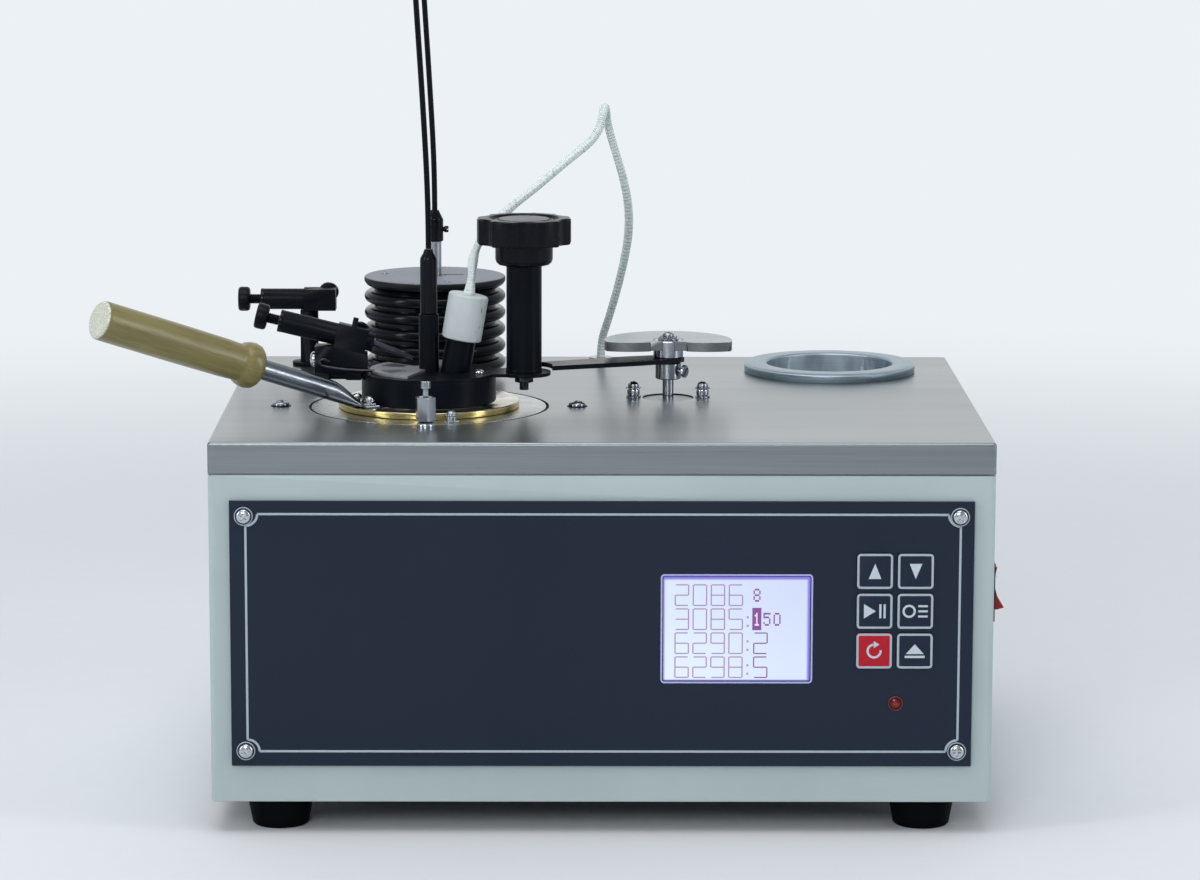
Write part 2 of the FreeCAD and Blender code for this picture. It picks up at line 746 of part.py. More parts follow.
def make_panel():
    """Dark front panel with its window, key holes and screws."""
    half = PANEL_WIDTH / 2
    top = PANEL_BOTTOM + PANEL_HEIGHT
    panel = box(-half, half, PANEL_FACE, FRONT, PANEL_BOTTOM, top)
    window = box(
        LCD_LEFT, LCD_LEFT + LCD_WIDTH, PANEL_FACE - OVER, FRONT + OVER,
        LCD_BOTTOM, LCD_BOTTOM + LCD_HEIGHT,
    )
    panel = panel.cut(window)
    hole = KEY_HALF + PLAY
    for _, x, z in key_places():
        panel = panel.cut(rounded_box(
            x - hole, x + hole, PANEL_FACE - OVER, FRONT + OVER, z - hole, z + hole, KEY_CORNER + PLAY, BACK,
        ))
    led_start = V(LED_X, PANEL_FACE - OVER, LED_Z)
    panel = panel.cut(Part.makeCylinder(LED_R + FIT, 2 * OVER + PANEL_SHEET, led_start, BACK))
    screws = []
    for x, z in panel_screw_places():
        screw_hole = Part.makeCylinder(M4_R + HOLE_PLAY, 2 * OVER + PANEL_SHEET, V(x, PANEL_FACE - OVER, z), BACK)
        panel = panel.cut(screw_hole)
        length = PANEL_SHEET + CASE_WALL + FASTENER_BITE
        screw = pan_screw(M4_HEAD_R, M4_HEAD_H, M4_R, length)
        screws.append(turned_to(screw, -BACK, V(x, PANEL_FACE, z)))
    save("front_panel", panel)
    save("panel_screws", *screws)


def make_display():
    """Window glass, the display module and the board that carries it and the key switches."""
    right = LCD_LEFT + LCD_WIDTH
    top = LCD_BOTTOM + LCD_HEIGHT
    glass = box(
        LCD_LEFT + PLAY, right - PLAY, FRONT - LCD_GLASS, FRONT, LCD_BOTTOM + PLAY, top - PLAY,
    )
    save("lcd_window", glass)
    module = box(
        LCD_LEFT - LCD_BEZEL, right + LCD_BEZEL, FRONT, BOARD_FACE, LCD_BOTTOM - LCD_BEZEL, top + LCD_BEZEL,
    )
    left = LCD_LEFT - LCD_BEZEL - BOARD_MARGIN_LEFT
    far = KEY_LEFT_X + KEY_PITCH_X + KEY_HALF + BOARD_MARGIN_RIGHT
    low = LED_Z - LED_R - BOARD_MARGIN_BOTTOM
    high = KEY_TOP_Z + KEY_HALF + BOARD_MARGIN_TOP
    board = box(left, far, BOARD_FACE, BOARD_FACE + BOARD_SHEET, low, high)
    half = SWITCH_SIDE / 2
    for _, x, z in key_places():
        board = board.fuse(box(
            x - half, x + half, BOARD_FACE - SWITCH_BODY, BOARD_FACE, z - half, z + half,
        ))
        button = Part.makeCylinder(SWITCH_BUTTON_R, BOARD_FACE - SWITCH_TIP, V(x, SWITCH_TIP, z), BACK)
        board = board.fuse(button)
    for x in (left + BOARD_POST_INSET, far - BOARD_POST_INSET):
        for z in (low + BOARD_POST_INSET, high - BOARD_POST_INSET):
            post = Part.makeCylinder(BOARD_POST_R, BOARD_FACE - FRONT, V(x, FRONT, z), BACK)
            board = board.fuse(post)
    save("display_board", board.removeSplitter(), module)


def make_keys():
    """Square key caps, each held behind the panel by its flange."""
    for name, x, z in key_places():
        cap = rounded_box(
            x - KEY_HALF, x + KEY_HALF, PANEL_FACE - KEY_PROUD, FRONT + SLIDE_GAP,
            z - KEY_HALF, z + KEY_HALF, KEY_CORNER, BACK,
        )
        reach = KEY_HALF + KEY_FLANGE
        flange = box(x - reach, x + reach, FRONT + SLIDE_GAP, KEY_BACK, z - reach, z + reach)
        save(name, cap.fuse(flange))


def make_led():
    """Round indicator with a domed lens, its legs on the board."""
    body = Part.makeCylinder(LED_R, BOARD_FACE - PANEL_FACE, V(LED_X, PANEL_FACE, LED_Z), BACK)
    rim = Part.makeCylinder(LED_R + LED_RIM, LED_RIM_SHEET, V(LED_X, PANEL_FACE - LED_RIM_SHEET, LED_Z), BACK)
    crown = LED_R * LED_R / LED_DOME / 2 + LED_DOME / 2
    start = PANEL_FACE - LED_RIM_SHEET
    dome = Part.makeSphere(crown, V(LED_X, start - LED_DOME + crown, LED_Z))
    dome = dome.common(Part.makeCylinder(LED_R, LED_DOME + OVER, V(LED_X, start, LED_Z), -BACK))
    save("status_led", body.fuse(rim).fuse(dome).removeSplitter())


def rocker_outline():
    """Side view of the rocker about its pivot, as (outwards, up) offsets in its middle position."""
    half = ROCKER_LENGTH / 2
    return [
        (ROCKER_TIP, half),
        (ROCKER_VALLEY, 0),
        (ROCKER_TIP, -half),
        (0, -half * ROCKER_BACK_SHARE),
        (-ROCKER_ROOT, 0),
        (0, half * ROCKER_BACK_SHARE),
    ]


def make_switch():
    """Power switch: housing in the right wall and the rocker, pressed in at its top."""
    pivot = V(SIDE - ROCKER_PIVOT_IN, ROCKER_Y, ROCKER_Z)
    half_y = ROCKER_WIDTH / 2
    corners = [V(pivot.x + out, ROCKER_Y - half_y, ROCKER_Z + up) for out, up in rocker_outline()]
    rocker = face_of(corners).extrude(BACK * ROCKER_WIDTH)
    rocker.rotate(pivot, BACK, -ROCKER_TILT)
    hole_start = V(pivot.x, ROCKER_Y - half_y - OVER, pivot.z)
    rocker = rocker.cut(Part.makeCylinder(ROCKER_PIN_R + FIT, ROCKER_WIDTH + 2 * OVER, hole_start, BACK))
    save("rocker", rocker)
    gap = SWITCH_WALL
    out_y = half_y + gap
    out_z = ROCKER_LENGTH / 2 + gap
    housing = box(
        SIDE - SWITCH_DEPTH, SIDE,
        ROCKER_Y - out_y, ROCKER_Y + out_y, ROCKER_Z - out_z, ROCKER_Z + out_z,
    )
    rim_y = out_y + SWITCH_RIM
    rim_z = out_z + SWITCH_RIM
    rim = box(
        SIDE, SIDE + SWITCH_RIM_PROUD,
        ROCKER_Y - rim_y, ROCKER_Y + rim_y, ROCKER_Z - rim_z, ROCKER_Z + rim_z,
    )
    housing = housing.fuse(rim)
    in_y = half_y + PLAY
    in_z = out_z - PLAY
    pocket = box(
        pivot.x - ROCKER_ROOT - SWITCH_WALL, SIDE + SWITCH_RIM_PROUD + OVER,
        ROCKER_Y - in_y, ROCKER_Y + in_y, ROCKER_Z - in_z, ROCKER_Z + in_z,
    )
    housing = housing.cut(pocket)
    pin = Part.makeCylinder(ROCKER_PIN_R, 2 * out_y, V(pivot.x, ROCKER_Y - out_y, pivot.z), BACK)
    save("switch_housing", housing.fuse(pin).removeSplitter())


def make_inlet():
    """Power inlet with its three blades and the fuse drawer below."""
    back = CASE_DEPTH / 2
    half_x = INLET_WIDTH / 2
    half_z = INLET_HEIGHT / 2
    body = box(INLET_X - half_x, INLET_X + half_x, back - INLET_DEPTH, back, INLET_Z - half_z, INLET_Z + half_z)
    rim_x = half_x + INLET_RIM
    rim_z = half_z + INLET_RIM
    rim = box(INLET_X - rim_x, INLET_X + rim_x, back, back + INLET_PROUD, INLET_Z - rim_z, INLET_Z + rim_z)
    body = body.fuse(rim)
    middle = INLET_Z + SOCKET_RISE
    socket = box(
        INLET_X - SOCKET_WIDTH / 2, INLET_X + SOCKET_WIDTH / 2,
        back + INLET_PROUD - SOCKET_DEPTH, back + INLET_PROUD + OVER,
        middle - SOCKET_HEIGHT / 2, middle + SOCKET_HEIGHT / 2,
    )
    body = body.cut(socket)
    floor = back + INLET_PROUD - SOCKET_DEPTH
    for i in (-1, 0, 1):
        x = INLET_X + i * BLADE_PITCH
        rise = BLADE_HEIGHT / 2 if i == 0 else -BLADE_HEIGHT / 2
        blade = box(
            x - BLADE_WIDTH / 2, x + BLADE_WIDTH / 2, floor, floor + BLADE_LENGTH,
            middle + rise - BLADE_HEIGHT / 2, middle + rise + BLADE_HEIGHT / 2,
        )
        body = body.fuse(blade)
    drawer_z = INLET_Z + FUSE_RISE
    drawer = box(
        INLET_X - FUSE_WIDTH / 2, INLET_X + FUSE_WIDTH / 2,
        back + INLET_PROUD, back + INLET_PROUD + FUSE_PROUD,
        drawer_z - FUSE_HEIGHT / 2, drawer_z + FUSE_HEIGHT / 2,
    )
    save("power_inlet", body.fuse(drawer).removeSplitter())


def make_electronics():
    """Main board on its posts and the transformer, both on the floor of the case."""
    floor = FOOT_HEIGHT + CASE_WALL
    half_x = MAIN_BOARD_WIDTH / 2
    half_y = MAIN_BOARD_DEPTH / 2
    low = floor + MAIN_POST_H
    high = low + BOARD_SHEET
    board = box(MAIN_BOARD_X - half_x, MAIN_BOARD_X + half_x, MAIN_BOARD_Y - half_y, MAIN_BOARD_Y + half_y, low, high)
    for x, y in corners_of(half_x - MAIN_POST_INSET, half_y - MAIN_POST_INSET):
        board = board.fuse(rod(MAIN_BOARD_X + x, MAIN_BOARD_Y + y, BOARD_POST_R, floor, low))
    half = CHIP_SIDE / 2
    board = board.fuse(box(
        MAIN_BOARD_X - half, MAIN_BOARD_X + half, MAIN_BOARD_Y - half, MAIN_BOARD_Y + half, high, high + CHIP_HEIGHT,
    ))
    edge = MAIN_BOARD_X + half_x - HEATSINK_WIDTH - MAIN_POST_INSET
    board = board.fuse(box(
        edge, edge + HEATSINK_WIDTH, MAIN_BOARD_Y - HEATSINK_DEPTH / 2, MAIN_BOARD_Y + HEATSINK_DEPTH / 2,
        high, high + HEATSINK_HEIGHT,
    ))
    save("main_board", board.removeSplitter())
    x, y = TRANSFORMER_X, TRANSFORMER_Y
    core = box(
        x - TRANSFORMER_WIDTH / 2, x + TRANSFORMER_WIDTH / 2,
        y - TRANSFORMER_DEPTH / 2, y + TRANSFORMER_DEPTH / 2, floor, floor + TRANSFORMER_HEIGHT,
    )
    middle = floor + TRANSFORMER_HEIGHT / 2
    coil = box(
        x - COIL_WIDTH / 2, x + COIL_WIDTH / 2, y - COIL_DEPTH / 2, y + COIL_DEPTH / 2,
        middle - COIL_HEIGHT / 2, middle + COIL_HEIGHT / 2,
    )
    save("transformer", core.fuse(coil).removeSplitter())


def make_furnace():
    """Furnace below the cover, its polished plate, its heater and its jacket."""
    cavity_r = CUP_BODY_R + CAVITY_GAP
    save("furnace_plate", ring(CUP_X, CUP_Y, PLATE_R, cavity_r, TOP - PLATE_THICK, TOP))
    under = TOP - COVER_SHEET
    body = turned(CUP_X, CUP_Y, [
        (0, TOP - FURNACE_DEPTH),
        (FURNACE_R, TOP - FURNACE_DEPTH),
        (FURNACE_R, under - FURNACE_FLANGE),
        (FURNACE_FLANGE_R, under - FURNACE_FLANGE),
        (FURNACE_FLANGE_R, under),
        (HOLE_R, under),
        (HOLE_R, TOP - PLATE_THICK),
        (cavity_r, TOP - PLATE_THICK),
        (cavity_r, TOP - CAVITY_DEPTH),
        (0, TOP - CAVITY_DEPTH),
    ])
    for x, y in furnace_screw_places():
        body = body.cut(rod(x, y, M4_R + HOLE_PLAY, under - FURNACE_FLANGE - OVER, under + OVER))
    save("furnace_body", body)
    inner = FURNACE_R + HEATER_GAP
    outer = inner + HEATER_SHEET
    top = under - FURNACE_FLANGE - HEATER_DROP + JACKET_DROP
    heater = ring(CUP_X, CUP_Y, outer, inner, top - HEATER_HEIGHT, top)
    jacket = ring(
        CUP_X, CUP_Y, outer + HEATER_GAP + JACKET_SHEET, outer + HEATER_GAP,
        TOP - FURNACE_DEPTH, under - FURNACE_FLANGE,
    )
    save("furnace_heater", heater, jacket)


def make_cover_screws():
    """Screws of the furnace and of the sample drive, and the small locating screw on the furnace plate."""
    screws = []
    for x, y in furnace_screw_places():
        screw = pan_screw(M4_HEAD_R, M4_HEAD_H, M4_R, COVER_SHEET + FURNACE_FLANGE + OVER)
        screws.append(turned_to(screw, UP, V(x, y, TOP)))
    screws.append(turned_to(pan_head(PIN_R, PIN_HEIGHT), UP, V(PIN_X, PIN_Y, TOP)))
    under = TOP - COVER_SHEET
    for x, y in stack_places():
        stack = rod(x, y, STACK_TIP_R, under - FASTENER_BITE, TOP + STACK_HEIGHT)
        stack = stack.fuse(rod(x, y, STACK_R, TOP, TOP + STACK_WASHER))
        stack = stack.fuse(hexagon(x, y, STACK_FLATS, TOP + STACK_WASHER, TOP + STACK_WASHER + STACK_NUT))
        screws.append(stack.removeSplitter())
    save("cover_screws", *screws)


def make_fittings():
    """Hexagon post, aluminium ring with the well that a hot cup is set down in, and the lead's socket."""
    foot = turned_to(pan_head(HEX_FOOT_R, HEX_FOOT), UP, V(HEX_POST_X, HEX_POST_Y, TOP))
    shaft = hexagon(HEX_POST_X, HEX_POST_Y, HEX_FLATS, TOP, TOP + HEX_TOP_Z)
    turned_foot = rod(HEX_POST_X, HEX_POST_Y, HEX_BASE_R, TOP, TOP + HEX_BASE)
    neck = rod(HEX_POST_X, HEX_POST_Y, HEX_NECK_R, TOP + HEX_TOP_Z, TOP + HEX_HEAD_Z)
    head = rod(HEX_POST_X, HEX_POST_Y, HEX_HEAD_R, TOP + HEX_HEAD_Z, TOP + HEX_TIP_Z)
    save("hex_post", foot.fuse([shaft, turned_foot, neck, head]).removeSplitter())
    step = REST_RING_CHAMFER
    well_r = REST_RING_BORE_R + REST_WELL_WALL
    well_floor = LID_BOTTOM - CUP_DEPTH - CUP_FLOOR
    rest = turned(REST_RING_X, REST_RING_Y, [
        (0, well_floor),
        (0, well_floor - REST_WELL_FLOOR),
        (well_r, well_floor - REST_WELL_FLOOR),
        (well_r, TOP),
        (REST_RING_R, TOP),
        (REST_RING_R, TOP + REST_RING_HEIGHT - step),
        (REST_RING_R - step, TOP + REST_RING_HEIGHT),
        (REST_RING_BORE_R + step, TOP + REST_RING_HEIGHT),
        (REST_RING_BORE_R, TOP + REST_RING_HEIGHT - step),
        (REST_RING_BORE_R, well_floor),
    ])
    save("cup_rest_ring", rest)
    x, y = LEAD_POINTS[-1][0], LEAD_POINTS[-1][1]
    socket = rod(x, y, SOCKET_R, TOP, TOP + SOCKET_RING_H)
    socket = socket.cut(rod(x, y, LEAD_R + PLAY, TOP + SOCKET_FLOOR_H, TOP + SOCKET_RING_H + OVER))
    save("lead_socket", socket)


def tower_profile():
    """Outline of the ribbed tower, as (radius, height) points."""
    points = [(TOWER_BORE_R, TOP), (TOWER_GROOVE_R, TOP)]
    for rib in range(TOWER_RIBS):
        middle = TOP + TOWER_FIRST_RIB + rib * TOWER_RIB_PITCH
        for i in range(RIB_STEPS + 1):
            turn = math.pi * (i / RIB_STEPS - 0.5)
            out = (TOWER_R - TOWER_GROOVE_R) * math.cos(turn)
            points.append((TOWER_GROOVE_R + out, middle + TOWER_RIB_HALF * math.sin(turn)))
    rim = TOP + TOWER_TOP - TOWER_RIM
    points.append((TOWER_GROOVE_R, rim))
    points.append((TOWER_R - TOWER_CAP_ROUND, rim))
    points.append((TOWER_R - TOWER_CAP_ROUND, TOP + TOWER_TOP))
    points.append((TOWER_BORE_R, TOP + TOWER_TOP))
    return points


def make_tower():
    """Ribbed housing of the stirring motor, its cap with screws, and the motor inside."""
    save("motor_tower", turned(CUP_X, TOWER_Y, tower_profile()))
    low = TOP + TOWER_TOP
    high = low + TOWER_CAP
    cap = turned(CUP_X, TOWER_Y, [
        (QUILL_R + PLAY, low),
        (TOWER_R - TOWER_CAP_ROUND, low),
        (TOWER_R, low + TOWER_CAP_ROUND),
        (TOWER_R, high - TOWER_CAP_ROUND),
        (TOWER_R - TOWER_CAP_ROUND, high),
        (QUILL_R + PLAY, high),
    ])
    solids = [cap]
    for i in range(TOWER_SCREWS):
        dx, dy = polar(TOWER_SCREW_CENTRE_R, FULL_TURN * i / TOWER_SCREWS + TOWER_SCREW_TURN)
        head = pan_head(TOWER_SCREW_R, TOWER_SCREW_H)
        solids.append(turned_to(head, UP, V(CUP_X + dx, TOWER_Y + dy, high)))
    save("tower_cap", *solids)
    motor = rod(CUP_X, TOWER_Y, MOTOR_R, TOP, TOP + MOTOR_TOP_Z)
    boss = rod(CUP_X, TOWER_Y, MOTOR_BOSS_R, TOP + MOTOR_TOP_Z, low)
    bore = rod(CUP_X, TOWER_Y, QUILL_R + FIT, TOP + MOTOR_TOP_Z, low + OVER)
    save("stirrer_motor", motor.fuse(boss).cut(bore).removeSplitter())


def make_motor_coupling():
    """Motor shaft with the coupling that grips the flexible shaft's rear end."""
    shaft = turned(CUP_X, TOWER_Y, [
        (0, TOP + MOTOR_TOP_Z),
        (QUILL_R, TOP + MOTOR_TOP_Z),
        (QUILL_R, TOP + COUPLING_Z),
        (COUPLING_R, TOP + COUPLING_Z),
        (COUPLING_R, TOP + COUPLING_TOP_Z),
        (COUPLING_TIP_R, TOP + COUPLING_TIP_Z),
        (0, TOP + COUPLING_TIP_Z),
    ])
    middle = TOP + (COUPLING_Z + COUPLING_TOP_Z) / 2
    screw = Part.makeCylinder(SET_SCREW_R, COUPLING_R + SET_SCREW_OUT, V(CUP_X, TOWER_Y, middle), RIGHT)
    save("motor_coupling", shaft.fuse(screw).removeSplitter())


def make_drive_inside():
    """Geared motor of the sample drive below the cover, and the bush round its shaft."""
    under = TOP - COVER_SHEET
    body = rod(DRIVE_X, DRIVE_Y, GEARBOX_R, under - GEARBOX_HEIGHT, under)
    low = under - GEARBOX_HEIGHT - GEARMOTOR_HEIGHT
    body = body.fuse(rod(DRIVE_X, DRIVE_Y, GEARMOTOR_R, low, under - GEARBOX_HEIGHT))
    body = body.cut(rod(DRIVE_X, DRIVE_Y, DRIVE_R + FIT, under - SHAFT_IN_GEARBOX, under + OVER))
    for x, y in stack_places():
        body = body.cut(rod(x, y, STACK_TIP_R + PLAY, under - FASTENER_BITE - OVER, under + OVER))
    save("drive_gearmotor", body)
    save("drive_bush", ring(DRIVE_X, DRIVE_Y, BUSH_R, DRIVE_R + FIT, under, under + BUSH_SHEET))


def make_drive_post():
    """Turning post with its two collars, its set screw and its top screw."""
    x, y = DRIVE_X, DRIVE_Y
    under = TOP - COVER_SHEET
    arm_top = ARM_Z + ARM_SHEET
    shaft = rod(x, y, DRIVE_R, under - SHAFT_IN_GEARBOX, TOP + HIGH_COLLAR_TOP_Z)
    low = rod(x, y, LOW_COLLAR_R, TOP + LOW_COLLAR_Z, TOP + ARM_Z)
    high = rod(x, y, HIGH_COLLAR_R, TOP + arm_top, TOP + HIGH_COLLAR_TOP_Z)
    post = shaft.fuse([low, high])
    middle = TOP + (LOW_COLLAR_Z + ARM_Z) / 2
    dx, dy = polar(1, SET_SCREW_TURN)
    screw = Part.makeCylinder(SET_SCREW_R, LOW_COLLAR_R + SET_SCREW_OUT, V(x, y, middle), V(dx, dy, 0))
    post = post.fuse(screw)
    top = TOP + HIGH_COLLAR_TOP_Z
    post = post.fuse(prism(x, y, WASHER_R, STAR_SIDES, top, top + WASHER_SHEET))
    post = post.removeSplitter()
    head = turned_to(pan_head(M3_HEAD_R, M3_HEAD_H), UP, V(x, y, top + WASHER_SHEET))
    save("drive_post", post, head)


def make_drive_arm():
    """Black arm from the post to the knob column, its tip cut round the lid's lobe."""
    low = TOP + ARM_Z
    high = low + ARM_SHEET
    start = V(DRIVE_X, DRIVE_Y, low)
    tip = V(LOBE_X, CUP_Y, low)
    along = tip - start
    along.normalize()
    across = UP.cross(along)
    corners = [
        start + across * ARM_HUB_R,
        tip + across * (ARM_TIP_WIDTH / 2),
        tip - across * (ARM_TIP_WIDTH / 2),
        start - across * ARM_HUB_R,
    ]
    arm = face_of(corners).extrude(UP * ARM_SHEET)
    arm = arm.fuse(rod(DRIVE_X, DRIVE_Y, ARM_HUB_R, low, high))
    arm = arm.cut(rod(LOBE_X, CUP_Y, LOBE_R + ARM_LOBE_GAP, low - OVER, high + OVER))
    arm = arm.cut(rod(DRIVE_X, DRIVE_Y, DRIVE_R + FIT, low - OVER, high + OVER))
    save("drive_arm", arm.removeSplitter())


def make_cam():
    """Half-round plate on the drive post, rounded at the back."""
    low = TOP + CAM_Z
    high = TOP + HIGH_COLLAR_TOP_Z
    plate = rod(DRIVE_X, DRIVE_Y, CAM_R, low, high)
    reach = 2 * CAM_R
    front = DRIVE_Y - CAM_FRONT
    plate = plate.cut(box(DRIVE_X - reach, DRIVE_X + reach, DRIVE_Y - reach, front, low - OVER, high + OVER))
    half = math.sqrt(CAM_R * CAM_R - CAM_FRONT * CAM_FRONT)
    for side in (-1, 1):
        near = DRIVE_X + side * HIGH_COLLAR_R
        far = DRIVE_X + side * half
        middle = (near + far) / 2
        bulge_edge = Part.Arc(V(near, front, low), V(middle, front - CAM_BULGE, low), V(far, front, low)).toShape()
        base_edge = Part.LineSegment(V(far, front, low), V(near, front, low)).toShape()
        plate = plate.fuse(Part.Face(Part.Wire([bulge_edge, base_edge])).extrude(UP * (high - low)))
    plate = plate.cut(rod(DRIVE_X, DRIVE_Y, HIGH_COLLAR_R + FIT, low - OVER, high + OVER))
    notch = CAM_NOTCH / 2
    plate = plate.cut(box(
        DRIVE_X - HIGH_COLLAR_R - notch, DRIVE_X + HIGH_COLLAR_R + notch,
        front - OVER - CAM_BULGE, DRIVE_Y - CAM_FRONT + notch, low - OVER, high + OVER,
    ))
    save("cam_plate", plate.removeSplitter())


def make_cup():
    """Brass test cup with its wide flange."""
    floor = LID_BOTTOM - CUP_DEPTH
    c = CUP_CHAMFER
    wall_r = CUP_BORE_R + CUP_WALL
    cup = turned(CUP_X, CUP_Y, [
        (0, floor - CUP_FLOOR),
        (CUP_BODY_R - c, floor - CUP_FLOOR),
        (CUP_BODY_R, floor - CUP_FLOOR + c),
        (CUP_BODY_R, TOP),
        (CUP_FLANGE_R - c, TOP),
        (CUP_FLANGE_R, TOP + c),
        (CUP_FLANGE_R, TOP + CUP_FLANGE - c),
        (CUP_FLANGE_R - c, TOP + CUP_FLANGE),
        (wall_r, TOP + CUP_FLANGE),
        (wall_r, LID_BOTTOM),
        (CUP_BORE_R, LID_BOTTOM),
        (CUP_BORE_R, floor),
        (0, floor),
    ])
    save("test_cup", cup)


def handle_frame():
    """Foot of the handle's axis and its direction, with the level way across it."""
    dx, dy = polar(1, HANDLE_TURN)
    rise = math.radians(HANDLE_RISE)
    along = V(dx * math.cos(rise), dy * math.cos(rise), math.sin(rise))
    foot = V(CUP_X + dx * HANDLE_FOOT_R, CUP_Y + dy * HANDLE_FOOT_R, TOP + HANDLE_FOOT_Z)
    across = V(-dy, dx, 0)
    return foot, along, across, V(dx, dy, 0)


def make_handle():
    """Steel rod on a tab on the cup's flange, its two screws and the wooden grip."""
    foot, along, across, out = handle_frame()
    start = foot - along * TAB_LENGTH
    stem = Part.makeCylinder(ROD_R, TAB_LENGTH + ROD_SHOWN + ROD_IN_GRIP, start, along)
    top = TOP + CUP_FLANGE
    lid_side = RIM_R + RIM_GAP + PLAY
    inner = V(CUP_X, CUP_Y, top) + out * (lid_side - TAB_UNDERLAP)
    half = across * (TAB_WIDTH / 2)
    reach = out * (TAB_LENGTH + TAB_UNDERLAP)
    tab = face_of([inner - half, inner + half, inner + half + reach, inner - half + reach])
    tab = tab.extrude(UP * TAB_SHEET)
    sleeve = stem.fuse(tab)
    sleeve = sleeve.cut(rod(CUP_X, CUP_Y, lid_side, TOP - ROD_R, top + 3 * ROD_R))
    reach_r = HANDLE_FOOT_R + TAB_LENGTH + ROD_R
    sleeve = sleeve.cut(rod(CUP_X, CUP_Y, reach_r, TOP - 2 * ROD_R, top))
    screws = []
    for side in (-1, 1):
        place = V(CUP_X, CUP_Y, top + TAB_SHEET) + out * (lid_side + TAB_SCREW_ALONG)
        place = place + across * (side * TAB_SCREW_SIDE)
        screws.append(turned_to(pan_head(SMALL_HEAD_R, M3_HEAD_H), UP, place))
    sleeve = sleeve.removeSplitter()
    keep = sorted(sleeve.Solids, key=lambda s: s.Volume)[-1]
    save("handle_rod", keep, *screws)
    round_in = GRIP_END_ROUND * GRIP_ROUND_SHARE
    grip = turned(0, 0, [
        (ROD_R + FIT, 0),
        (GRIP_BEAD_R - GRIP_END_ROUND, 0),
        (GRIP_BEAD_R, GRIP_END_ROUND / 2),
        (GRIP_BEAD_R, GRIP_BEAD - GRIP_END_ROUND),
        (GRIP_WAIST_R, GRIP_BEAD),
        (GRIP_R, GRIP_LENGTH / 2),
        (GRIP_R, GRIP_LENGTH - GRIP_END_ROUND),
        (GRIP_R - round_in, GRIP_LENGTH - round_in),
        (GRIP_R - GRIP_END_ROUND, GRIP_LENGTH),
        (0, GRIP_LENGTH),
        (0, ROD_IN_GRIP),
        (ROD_R + FIT, ROD_IN_GRIP),
    ])
    save("handle_grip", turned_to(grip, along, foot + along * ROD_SHOWN))


def port_axis():
    """A point on the sensor port's tilted axis and its upward direction."""
    tilt = math.radians(PORT_TILT)
    return V(PORT_AT_X, CUP_Y, TOP + PORT_AT_Z), V(math.sin(tilt), 0, math.cos(tilt))


def along_port(radius, z_from, z_to):
    """Cylinder on the port's axis between two heights above the cover."""
    point, up = port_axis()
    start = point + up * ((z_from - PORT_AT_Z) / up.z)
    return Part.makeCylinder(radius, (z_to - z_from) / up.z, start, up)


def make_lid():
    """Rim and plate of the cup lid."""
    wall_r = CUP_BORE_R + CUP_WALL
    low = TOP + CUP_FLANGE + RIM_LIFT
    save("lid_rim", ring(CUP_X, CUP_Y, RIM_R, wall_r + RIM_GAP, low, LID_BOTTOM))
    plate = rod(CUP_X, CUP_Y, RIM_R, LID_BOTTOM, LID_TOP)
    plate = plate.fuse(rod(LOBE_X, CUP_Y, LOBE_R, LID_BOTTOM, LID_TOP))
    half = LOBE_NECK / 2
    plate = plate.fuse(box(CUP_X, LOBE_X, CUP_Y - half, CUP_Y + half, LID_BOTTOM, LID_TOP))
    low = LID_BOTTOM - OVER
    high = LID_TOP + OVER
    plate = plate.cut(rod(CUP_X, CUP_Y, STIRRER_R + FIT, low, high))
    plate = plate.cut(along_port(PROBE_R + PLAY, low - TOP, high - TOP))
    plate = plate.cut(rod(LOBE_X, CUP_Y, KNOB_SPINDLE_R + FIT, low, high))
    for turn in VENT_LID_TURNS:
        vent = sector(
            CUP_X, CUP_Y, VENT_INNER_R, VENT_OUTER_R, turn - VENT_HALF_TURN, turn + VENT_HALF_TURN, low, high,
        )
        plate = plate.cut(vent)
    save("lid_plate", plate.removeSplitter())


def make_shutter():
    """Grey shutter that turns on the lid plate, its wings clear of the sensor port."""
    low = SHUTTER_BOTTOM
    high = low + SHUTTER_SHEET
    shutter = sector(
        CUP_X, CUP_Y, BEARING_R + FIT, SHUTTER_HUB_R, SHUTTER_BACK_FROM_TURN, SHUTTER_LEFT_TO_TURN, low, high,
    )
    left = (SHUTTER_LEFT_FROM_TURN, SHUTTER_LEFT_TO_TURN)
    back = (SHUTTER_BACK_FROM_TURN, SHUTTER_BACK_TO_TURN)
    for turn_from, turn_to in (left, back):
        wing = sector(CUP_X, CUP_Y, BEARING_R + PLAY, SHUTTER_R, turn_from, turn_to, low, high)
        shutter = shutter.fuse(wing)
    for turn in VENT_LEFT_TURNS:
        vent = sector(
            CUP_X, CUP_Y, VENT_INNER_R, VENT_OUTER_R, turn - VENT_HALF_TURN, turn + VENT_HALF_TURN,
            low - OVER, high + OVER,
        )
        shutter = shutter.cut(vent)
    save("shutter", shutter.removeSplitter())


